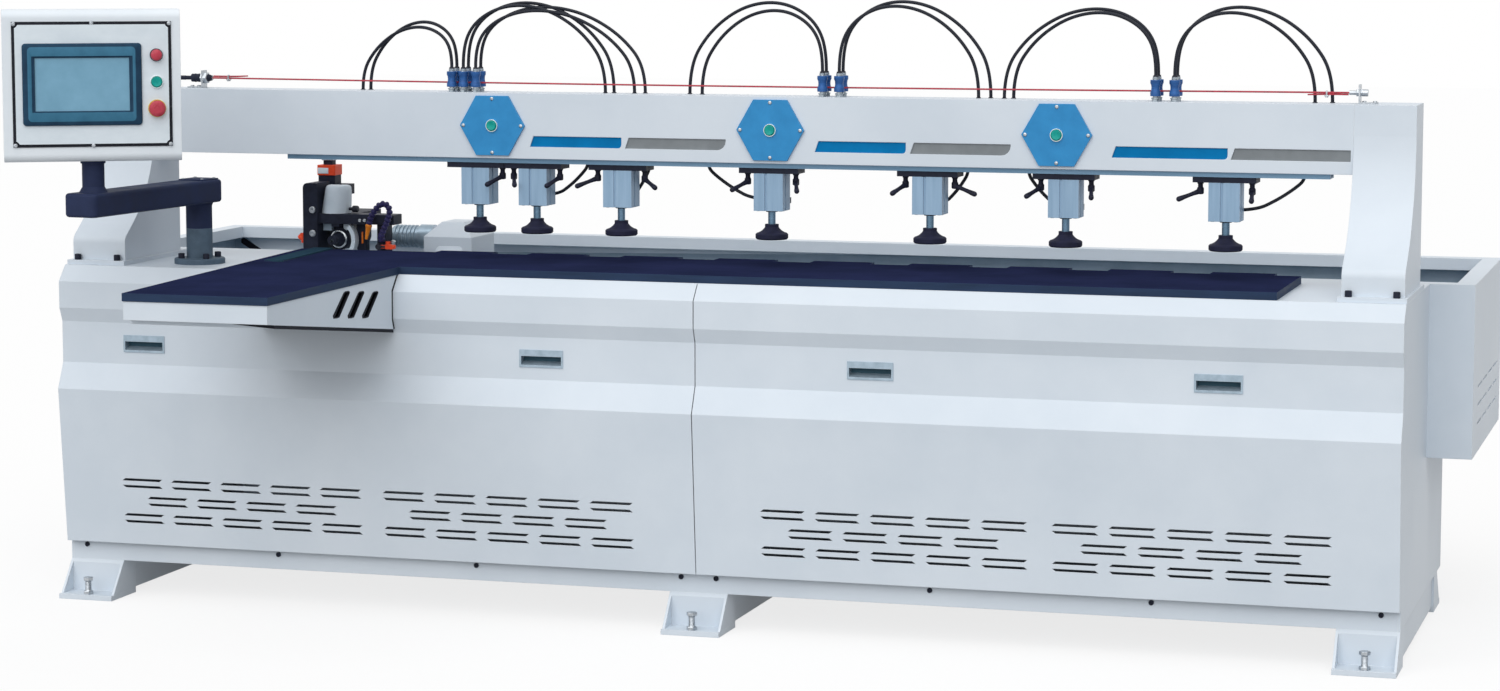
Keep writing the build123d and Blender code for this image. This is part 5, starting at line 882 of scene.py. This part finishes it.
for across in BOX_SCREW_X:
    for up in BOX_SCREW_Z:
        turned(form, BOX_SCREW, (across, BOX_SCREW_Y, COVER_Z + up), (0, 1, 0), 1, 16)
piece("box_rear_cover", "control_panel", form, "painted_steel", case_paint, zinc, place=box_place)


# Control faceplate: a pale anodised plate on a black rubber gasket, notched at its corners round the screws,
# with the red lamp, the start button's ring and the yellow plate of the emergency stop fixed to it.
# Pale plate: brushed, anodised almost white.
pale_plate = surface("pale_anodised_faceplate", "#DFE9F0", "#D6E1E9", 40, 0.42, shine=0.4, grit=1.6,
                     relief=0.02, edge=0.8, grain=(0.08, 1, 1))
# Red lens: smooth, glossy moulding. Yellow plate: plain satin disc.
red = surface("moulded_polycarbonate_red", "#C24254", "#B03748", 10, 0.3, shine=0.3, grit=2, relief=0.01,
              edge=0.8)
yellow = surface("moulded_abs_yellow", "#E0B83C", "#D0A62C", 12, 0.45, shine=0.3, grit=2, relief=0.02,
                 edge=0.8)
CONTROL_X = 147
LAMP_Z = BOX_Z + 67
START_Z = BOX_Z + 4.5
ESTOP_Z = BOX_Z - 57
CONTROL_HALF = 17
GASKET_FACE = -62
PLATE_FACE = -65
CONTROL_RING_FACE = -69
LAMP_LENS = [(13.2, 0), (13.2, 6), (12.2, 8.6), (9.4, 10.2), (5, 11), (0, 11.3)]
PLATE_SCREW = [(5.2, 0), (5, 1.8), (3.8, 3.4), (2, 3.8), (1.8, 2), (0, 1.9)]
PLATE_SCREW_PLACES = ((-177, -140), (177, -140), (-177, 140), (177, 140), (0, -141.5), (0, 141.5))


def faceplate_skin(middle):
    """Gasket, plate, lamp, start ring and emergency stop disc, by depth and height on the plate."""
    spot = to_box @ middle
    if spot.y > GASKET_FACE - 0.2:
        return 1
    if spot.y > PLATE_FACE - 0.05:
        return 0
    if abs(spot.z - LAMP_Z) < CONTROL_HALF:
        return 2 if spot.y < CONTROL_RING_FACE - 0.1 else 3
    return 4 if abs(spot.z - START_Z) < CONTROL_HALF else 5


dress("control_faceplate", pale_plate, rubber, red, nylon, chrome, yellow, pick=faceplate_skin)
form = bmesh.new()
turned(form, LAMP_LENS, (CONTROL_X, CONTROL_RING_FACE, LAMP_Z), (0, -1, 0))
for across, up in PLATE_SCREW_PLACES:
    turned(form, PLATE_SCREW, (across, GASKET_FACE, BOX_Z + up), (0, -1, 0), 1, 16)
turned(form, BUTTON_COLLAR, (CONTROL_X, CONTROL_RING_FACE, START_Z), (0, -1, 0), 2, BUTTON_SIDES, closed=True)
piece("faceplate_fittings", "control_panel", form, "red_plastic", red, zinc, green, place=box_place)


# Touch screen: a moulded bezel set through the plate, with a stepped surround and a glass front let into it.
# It is clamped from behind and shows a plain pale blue display.
# Bezel: satin dark blue moulding; the inner surround is teal; the glass is smooth with a soft sheen.
bezel = surface("moulded_abs_dark_blue", "#23425A", "#1B354C", 30, 0.5, shine=0.12, grit=2, relief=0.03,
                edge=1.0, edge_wear_and_highlight="#3A5C76")
surround = surface("moulded_abs_teal", "#3B7390", "#336985", 30, 0.45, shine=0.2, grit=2, relief=0.03,
                   edge=0.8)
glass = surface("display_glass_pale_blue", "#7FAFC9", "#73A3BD", 90, 0.2, shine=0.3, grit=40, relief=0.01,
                edge=0.5)
SCREEN_X = -23
DISPLAY_FACE = -68
DISPLAY_HALF_X = 107.4
DISPLAY_HALF_Z = 61.4
# Steps of the surround: left, right, low and high from the screen's middle, corner radius and depth.
SCREEN_STEPS = ((-134, 134, -93, 93, 8, -70.9), (-124, 122, -85.4, 87, 9, -73.6),
                (-115, 115.5, -64.5, 65.7, 1.5, -73.6),
                (-DISPLAY_HALF_X, DISPLAY_HALF_X, -DISPLAY_HALF_Z, DISPLAY_HALF_Z, 0.8, -68.1))


def screen_skin(middle):
    """The recessed display is glass, the rest of the screen is bezel."""
    spot = to_box @ middle
    recessed = DISPLAY_FACE - 0.3 < spot.y < DISPLAY_FACE + 0.5
    across = abs(spot.x - SCREEN_X) < DISPLAY_HALF_X + 0.5
    return recessed and across and abs(spot.z - BOX_Z) < DISPLAY_HALF_Z + 0.5


def rounded_ring(form, left, right, low, high, corner, depth):
    """A ring of points in mm round a rectangle with rounded corners, all at one depth."""
    ring = []
    for x, z, start in ((right - corner, high - corner, 0), (left + corner, high - corner, 90),
                        (left + corner, low + corner, 180), (right - corner, low + corner, 270)):
        for angle in [math.radians(start + 22.5 * step) for step in range(5)]:
            ring.append(form.verts.new((x + corner * math.cos(angle), depth, z + corner * math.sin(angle))))
    return ring


dress("touch_screen", bezel, glass, pick=screen_skin)
form = bmesh.new()
rings = [rounded_ring(form, SCREEN_X + left, SCREEN_X + right, BOX_Z + low, BOX_Z + high, corner, depth)
         for left, right, low, high, corner, depth in SCREEN_STEPS]
rings_to_faces(form, rings, (1, 0, 1, 1), closed=True)
piece("screen_surround", "control_panel", form, "screen", surround, bezel, place=box_place)


# Start button: a green moulded cap with a shallow dish, on a spring plunger through the faceplate.
# It moves in the chromed ring that is screwed to the plate.
START_FACE = -72
form = bmesh.new()
turned(form, BUTTON_CAP, (CONTROL_X, START_FACE, START_Z), (0, 1, 0), sides=BUTTON_SIDES)
start = piece("start_button_cap", "start_button", form, "green_plastic", green, place=box_place)
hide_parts("start_button")


# Emergency stop: a red moulded mushroom head with a rounded rim and a raised middle, pressed on to its
# plunger. It stands over the yellow disc on the faceplate.
ESTOP_FACE = -86.4
ESTOP_HEAD = [(0, 0), (8, 0.4), (12.6, 0.9), (13.6, 2.1), (15.4, 2.4), (17.8, 3.8), (19, 6.4), (18.6, 9.6),
              (16, 11.4), (8, 11.4), (8, 48.4)]
form = bmesh.new()
turned(form, ESTOP_HEAD, (CONTROL_X, ESTOP_FACE, ESTOP_Z), (0, 1, 0), sides=36)
estop = piece("emergency_stop_head", "estop_button", form, "red_plastic", red, place=box_place)
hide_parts("estop_button")


# Drilling carriage: a saddle and a black steel tower on bearing blocks, the lift motor with its orange cap,
# and a ribbed drive beside a folded cover that is coated like the bed.
# Orange moulding: warm red-orange ABS, satin, paler along its edges, partly from wear and partly a painted
# highlight.
orange = surface("moulded_abs_orange", "#F2522C", "#E34723", 18, 0.45, shine=0.25, grit=2, relief=0.03,
                 edge=1.2, edge_wear_and_highlight="#F57B58")
MOTOR_X = -1187
MOTOR_Y = 638.4
MOTOR_TOP = reach("x_carriage")[1].z
MOTOR_CAP_Z = (1010.2, 1036.2)
MOTOR_CAP_HALF = 26
MOTOR_LID = ((MOTOR_X - 16, MOTOR_Y - 16, MOTOR_TOP - 0.5), (MOTOR_X + 16, MOTOR_Y + 16, MOTOR_TOP + 4))
MOTOR_PLATE = ((MOTOR_X - 22, MOTOR_Y - 25.8, 1014), (MOTOR_X + 7, MOTOR_Y - 24.6, 1029))
SADDLE_TOP = 588.5
COVER_LEFT = -929.5
DRIVE_LEFT = -1042.5
DRIVE_FRONT = 685
DRIVE_Z = (815, 882)
DRIVE_START = Vector((-1037, 720, 849))
DRIVE_RIB = [(26, 0), (29.4, 1.4), (29.4, 5.2), (26, 6.6)]
DRIVE_RIBS = 6
DRIVE_RIB_SPACING = 10.6
LID_SCREW_FEET = ((-917, 640, 640), (-810, 640, 640))
LID_SCREW = [(5, 0), (4.8, 1.4), (3.6, 2.6), (1.8, 2.8), (1.6, 1.4), (0, 1.3)]
LIP_BACK = ((-896, 826), (-888, 833), (-830, 833.6), (-822, 826), (-818, 806), (-900, 806))
LIP_BACK_Y = 640.4
LIP_FRONT = ((-890, 808), (-886, 810), (-832, 810), (-828, 808), (-827, 806), (-891, 806))
LIP_FRONT_Y = 622


def carriage_skin(middle):
    """Cover coated, drive in satin metal, motor cap orange, saddle and bearings ground, the rest black."""
    if middle.x > COVER_LEFT and middle.z > SADDLE_TOP:
        return 1
    if middle.x > DRIVE_LEFT and DRIVE_Z[0] < middle.z < DRIVE_Z[1] and middle.y > DRIVE_FRONT:
        return 2
    if MOTOR_CAP_Z[0] < middle.z <= MOTOR_CAP_Z[1] and abs(middle.x - MOTOR_X) < MOTOR_CAP_HALF:
        return 3
    return 4 if middle.z < SADDLE_TOP else 0


dress("x_carriage", black_oxide, paint, satin, orange, ground_steel, pick=carriage_skin)
form = bmesh.new()
slab(form, *MOTOR_LID, 2.0)
slab(form, *MOTOR_PLATE, 0.4, 2)
for index in range(DRIVE_RIBS):
    foot = DRIVE_START + Vector((index * DRIVE_RIB_SPACING, 0, 0))
    turned(form, DRIVE_RIB, foot, (1, 0, 0), 0, 32)
for foot in LID_SCREW_FEET:
    turned(form, LID_SCREW, foot, (0, -1, 0), 1, 16)
lip_edges = ((LIP_BACK, LIP_BACK_Y), (LIP_FRONT, LIP_FRONT_Y))
rings_to_faces(form, [[form.verts.new((x, y, z)) for x, z in outline] for outline, y in lip_edges], 3)
piece("carriage_fittings", "x_carriage", form, "black_steel", satin, zinc, pale_plate, paint)


# Lift slide: a black block with a cantilever plate and pillar that carries the drilling head, a grey motor
# hood, a guard round the spindle, an adjustable stop and air fittings; it rises on the tower.
# Grey hood: painted sheet, bowed in front, its upper edge rounded over.
grey_paint = surface("satin_paint_pale_grey", "#D6E1EA", "#CBD7E1", 60, 0.45, shine=0.3, grit=3, relief=0.05,
                     edge=1.5, edge_wear_and_highlight="#D3DEE6")
SPINDLE = pivot("spindle_turn")
SLIDE_FOOT = reach("z_slide")[0].z
SLIDE_TOP = reach("z_slide")[1].z
BLOCK_LEFT = -1211
BLOCK_RIGHT = -1171
BLOCK_FRONT = 520
BLOCK_REAR = 600
BLOCK_ROUND = 12
PLATE_TOP = 918
PLATE_FOOT = 893
PLATE_OUTLINE = ((-1171.5, 530), (-966, 530), (-966, 584), (-1080, 584), (-1080, 720), (-1171.5, 720))
PILLAR = ((-1016, 540, SLIDE_FOOT), (-992, 584, PLATE_FOOT + 0.6))
FEED_GUIDE = ((SPINDLE.x - 10, 532, 885), (SPINDLE.x + 10, 720, PLATE_FOOT + 0.6))
STOP_BLOCK = ((-1079, 558, SLIDE_FOOT), (-1055, 584, PLATE_FOOT + 0.6))
BLOCK_SCREW_FEET = ((-1184, BLOCK_FRONT + 0.5, 928), (-1184, BLOCK_FRONT + 0.5, 868))
BLOCK_SCREW = [(8.6, 0), (8.6, 4), (7.6, 5), (4.6, 5), (4.4, 2.6), (0, 2.4)]
SLIDE_SCREW_FEET = ((-1058.7, 530.5, 903), (-1045.6, 530.5, 903))
SLIDE_SCREW = [(4.2, 0), (4.2, 2), (3.4, 2.8), (1.8, 2.8), (1.6, 1.4), (0, 1.3)]
form = bmesh.new()
block_outline = [(BLOCK_LEFT, SLIDE_FOOT)]
for angle in [math.radians(degrees) for degrees in range(0, 91, 15)]:
    block_outline.append((BLOCK_LEFT + BLOCK_ROUND * (1 - math.cos(angle)),
                          SLIDE_TOP - BLOCK_ROUND * (1 - math.sin(angle))))
block_outline += [(BLOCK_RIGHT, SLIDE_TOP), (BLOCK_RIGHT, SLIDE_FOOT)]
prism(form, block_outline, BLOCK_FRONT, BLOCK_REAR)
prism(form, PLATE_OUTLINE, PLATE_TOP, PLATE_FOOT, 1.4, flat=True)
slab(form, *PILLAR, 1.4)
slab(form, *FEED_GUIDE, 0.6)
slab(form, *STOP_BLOCK, 1.6)
for foot in BLOCK_SCREW_FEET:
    turned(form, BLOCK_SCREW, foot, (0, -1, 0), 1)
for foot in SLIDE_SCREW_FEET:
    turned(form, SLIDE_SCREW, foot, (0, -1, 0), 1, 16)
lift = piece("lift_slide_block", "z_slide", form, "black_steel", black_oxide, zinc)
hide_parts("z_slide")

HOOD_X = -1135.5
HOOD_HALF = 33.5
HOOD_SHOULDER_Y = 562
HOOD_BOW = 30
HOOD_REAR_Y = 582
HOOD_LEAN = 0.11
HOOD_UPRIGHT_Z = 954
HOOD_RINGS = ((917.5, -1.5), (950, 0), (975, 1.6), (984, 3), (988.6, 6), (990, 11))
GUARD_OUTER = 54
GUARD_INNER = 43.5
GUARD_Y = (532, 556)
HOOD_KNOB_FOOT = (-1103, 567, 929)
HOOD_KNOB = [(4, 0), (4, 9), (7.6, 10), (8.6, 12), (8.6, 22), (7.4, 24.6), (0, 25.4)]
form = bmesh.new()
rings = []
for height, inset in HOOD_RINGS:
    middle = HOOD_X + (height - HOOD_UPRIGHT_Z) * HOOD_LEAN
    half = HOOD_HALF - inset
    ring = []
    for turn in [math.radians(step * 15) for step in range(-6, 7)]:
        ring.append((middle + half * math.sin(turn), HOOD_SHOULDER_Y - (HOOD_BOW - inset) * math.cos(turn)))
    ring += [(middle + half, HOOD_REAR_Y - inset), (middle - half, HOOD_REAR_Y - inset)]
    rings.append([form.verts.new((x, y, height)) for x, y in ring])
rings_to_faces(form, rings, 0)
guard = []
for radius, sweep in ((GUARD_OUTER, range(-33, 50, 6)), (GUARD_INNER, range(44, -45, -6))):
    for angle in [math.radians(degrees) for degrees in sweep]:
        guard.append((SPINDLE.x + radius * math.cos(angle), SPINDLE.z + radius * math.sin(angle)))
rings_to_faces(form, [[form.verts.new((x, y, z)) for x, z in guard] for y in GUARD_Y], 0)
turned(form, HOOD_KNOB, HOOD_KNOB_FOOT, (1, 0, 0), 1, 18)
piece("motor_hood_and_guard", "z_slide", form, "painted_steel", grey_paint, nylon)

# Amber moulding: orange-yellow acetal of nozzles and fittings, satin.
amber = surface("moulded_acetal_amber", "#F08C2A", "#E07C1C", 12, 0.4, shine=0.3, grit=2, relief=0.02,
                edge=0.8, edge_wear_and_highlight="#F6AC62")
SIDE_BLOCK = ((-1219, 525, 842), (-1210.5, 545, 868))
PLUG_BODY = ((-1004, 520, 834), (-984, 528, 843))
ELBOW_BODY = ((-986, 518, 832), (-965, 530, 845))
STOP_PIN = ((-1064, 552.5, 842), (-1060, 558.4, 872))
SIDE_FITTING = [(8, 0), (8, 5), (9, 6), (9, 11), (8, 12.4)]
PILLAR_PLUG = [(9, 0), (9, 13), (7.6, 15), (7.6, 23.5)]
ELBOW_CAP = [(6.4, 0), (6.4, 6.6), (5.4, 8)]
ELBOW_OUTLET = [(5.6, 0), (5.6, 4.6), (4.6, 5.8)]
AIR_NIPPLE = [(4.4, 0), (4.4, 4), (5.8, 5), (5.8, 10), (5, 11)]
form = bmesh.new()
slab(form, *SIDE_BLOCK, 1.6)
turned(form, SIDE_FITTING, (-1218, 535, 862), (-0.6, 0, -0.8), 0, 20)
turned(form, PILLAR_PLUG, (-1004, 540, 838), (0, -1, 0), 3, 20)
slab(form, *PLUG_BODY, 1.6, 3)
slab(form, *ELBOW_BODY, 2.6)
turned(form, ELBOW_CAP, (-979, 524, 844), (0, 0, 1), 0, 18)
turned(form, ELBOW_OUTLET, (-965.5, 524, 838.5), (1, 0, 0), 0, 18)
turned(form, AIR_NIPPLE, (-967, 525, 844), (0.3, -0.1, 0.95), 1, 18)
slab(form, *STOP_PIN, 0.8, 2)
piece("air_fittings", "z_slide", form, "red_plastic", orange, zinc, amber, nylon)


# Air line: a jointed hose of moulded ball links that holds its bend, from the pillar over to an amber nozzle
# which blows the chips off the drill.
# Acetal links: dark violet blue, satin.
acetal = surface("moulded_acetal_dark_blue", "#312E62", "#28254F", 10, 0.45, shine=0.25, grit=2, relief=0.02,
                 edge=0.6, edge_wear_and_highlight="#4A4780")
AIR_LINE = ((-1000, 540, 856), (-999, 526, 856), (-995, 514, 862), (-987, 507, 876), (-976, 506, 898),
            (-967, 506, 920), (-966.5, 506, 936), (-973.5, 506, 947.5), (-990, 506, 949), (-1001.5, 506, 938),
            (-1018.5, 506, 917), (-1023.5, 506, 894))
LINK_SPACING = 10.8
NOZZLE = [(6.4, -2), (8.6, 0.6), (8.6, 4.4), (7, 6), (5.8, 16), (4.2, 30), (3.3, 37), (2, 37), (2, 30),
          (0, 29)]
line = read_route(AIR_LINE)
spans = [(end - start).length for start, end in zip(line, line[1:])]
air_length = sum(spans)
count = round(air_length / LINK_SPACING)
half = air_length / count / 2
LINK = [(4.4, -half - 1), (5.6, -half), (7.6, -half + 1.8), (8.4, -half + 4), (7.9, half - 3.4),
        (6, half - 1.2), (4.4, half + 0.4)]


def along_line(distance):
    """The point and direction at a distance along the air line."""
    for start, end, span in zip(line, line[1:], spans):
        if distance <= span or end is line[-1]:
            return start + (end - start) * (distance / span), (end - start).normalized()
        distance -= span


form = bmesh.new()
for index in range(count):
    point, way = along_line((index + 0.5) * air_length / count)
    turned(form, LINK, point, way, 0, 18)
air_line = piece("jointed_air_hose", "z_slide", form, "hose_black", acetal)
tip = Vector(AIR_LINE[-1])
blow = (tip - Vector(AIR_LINE[-2])).normalized()
form = bmesh.new()
turned(form, NOZZLE, tip, blow, 0, 20)
nozzle = piece("air_nozzle", "z_slide", form, "red_plastic", amber)


# Drilling head: a black spindle housing milled from one block and hung on the feed guide.
# Two bent sheet tabs screwed to its front guide the chips.
dress("spindle_head", black_oxide)
TAB_REAR_Y = 570.4
LEFT_TAB = ((-1169.5, 552, 873), (-1146, TAB_REAR_Y, 891))
RIGHT_TAB = ((-1116, 891), (-1099.5, 891), (-1101, 880), (-1108, 874), (-1116, 880))
RIGHT_TAB_FRONT_Y = 558
form = bmesh.new()
# The left tab takes the darker dusted grey, partly dust and partly painted shade under the plate.
slab(form, *LEFT_TAB, 1.2)
prism(form, RIGHT_TAB, RIGHT_TAB_FRONT_Y, TAB_REAR_Y, 0.8, 1)
piece("chip_guide_tabs", "spindle_head", form, "painted_steel", dust_and_shade, grey_paint)


# Spindle rotor: a tapered nose turned in one piece with its shaft, hardened and blackened.
# Its collar is left bright, and a bright collet bore in its end takes the drill.
COLLAR_FRONT_Y = 551
COLLAR = [(19.5, 0), (22.4, 0.4), (23.4, 1.6), (23.4, 6), (19.5, 7)]
BORE_RADIUS = 5.2
SEAT_RADIUS = 17


def rotor_skin(middle):
    """Bright collar behind the taper and bright bore; the rest is black."""
    radius = math.hypot(middle.x - SPINDLE.x, middle.z - SPINDLE.z)
    if radius > SEAT_RADIUS and middle.y > COLLAR_FRONT_Y - 2:
        return 2
    return 1 if radius < BORE_RADIUS else 0


dress("spindle_rotor", black_oxide, ground_steel, chrome, pick=rotor_skin)
form = bmesh.new()
turned(form, COLLAR, (SPINDLE.x, COLLAR_FRONT_Y, SPINDLE.z), (0, 1, 0), 0, 40)
piece("spindle_collar", "spindle_rotor", form, "steel", chrome)


# Studio: a plain white floor and surroundings, one broad soft lamp high in front, and the camera
# where the photograph was taken.
def studio_white(tree, lit, shown):
    """Mixes what lights the object with what the camera and reflections see."""
    path = add(tree, "ShaderNodeLightPath")
    seen = add(tree, "ShaderNodeMath", {"operation": "MAXIMUM"},
               {0: path.outputs["Is Camera Ray"], 1: path.outputs["Is Glossy Ray"]})
    seen = add(tree, "ShaderNodeMath", {"operation": "MAXIMUM"},
               {0: seen.outputs["Value"], 1: path.outputs["Is Transmission Ray"]})
    mixed = add(tree, "ShaderNodeMixShader", {}, {0: seen.outputs["Value"], 1: lit, 2: shown})
    return mixed.outputs[0]


WHITE = linear("#FFFFFF")
FLOOR_HALF = 30.0
LAMP_WAY = (-0.03, -0.72, 0.69)
CAMERA_TILT = math.radians(90 - 6.03)
CAMERA_TURN = math.radians(16.74)
world = bpy.data.worlds.new("studio_surroundings")
bpy.context.scene.world = world
world.use_nodes = True
tree = world.node_tree
lit = add(tree, "ShaderNodeBackground", {"Color": WHITE, "Strength": 0.55})
shown = add(tree, "ShaderNodeBackground", {"Color": WHITE, "Strength": 1.0})
mixed = studio_white(tree, lit.outputs[0], shown.outputs[0])
tree.links.new(mixed, tree.nodes["World Output"].inputs["Surface"])

form = bmesh.new()
bmesh.ops.create_grid(form, x_segments=2, y_segments=2, size=FLOOR_HALF)
floor_mesh = bpy.data.meshes.new("studio_floor")
form.to_mesh(floor_mesh)
form.free()
floor = bpy.data.objects.new("studio_floor", floor_mesh)
bpy.context.scene.collection.objects.link(floor)
floor_paint = bpy.data.materials.new("white_studio_floor")
floor_paint.use_nodes = True
tree = floor_paint.node_tree
matt = add(tree, "ShaderNodeBsdfDiffuse", {"Color": linear("#ADADAD")})
half_matt = add(tree, "ShaderNodeBsdfDiffuse", {"Color": linear("#7C7C7C")})
glow = add(tree, "ShaderNodeEmission", {"Color": WHITE, "Strength": 0.79})
bright = add(tree, "ShaderNodeAddShader", {}, {0: half_matt.outputs[0], 1: glow.outputs[0]})
mixed = studio_white(tree, matt.outputs[0], bright.outputs[0])
tree.links.new(mixed, tree.nodes["Material Output"].inputs["Surface"])
floor_mesh.materials.append(floor_paint)

lamp = bpy.data.lights.new("broad_soft_lamp", "SUN")
lamp.energy = 2.0
lamp.angle = math.radians(80)
lamp_stand = bpy.data.objects.new("broad_soft_lamp", lamp)
lamp_stand.rotation_euler = Vector(LAMP_WAY).to_track_quat("Z", "Y").to_euler()
bpy.context.scene.collection.objects.link(lamp_stand)

view = bpy.data.cameras.new("photograph_view")
view.sensor_width = 36.0
view.lens = 84.35
view.shift_x = -0.00353
view.shift_y = -0.0278
camera = bpy.data.objects.new("photograph_view", view)
camera.location = (2.4689, -7.7081, 1.6306)
camera.rotation_euler = (CAMERA_TILT, 0.0, CAMERA_TURN)
bpy.context.scene.collection.objects.link(camera)
bpy.context.scene.camera = camera
bpy.context.scene.view_settings.view_transform = "Standard"
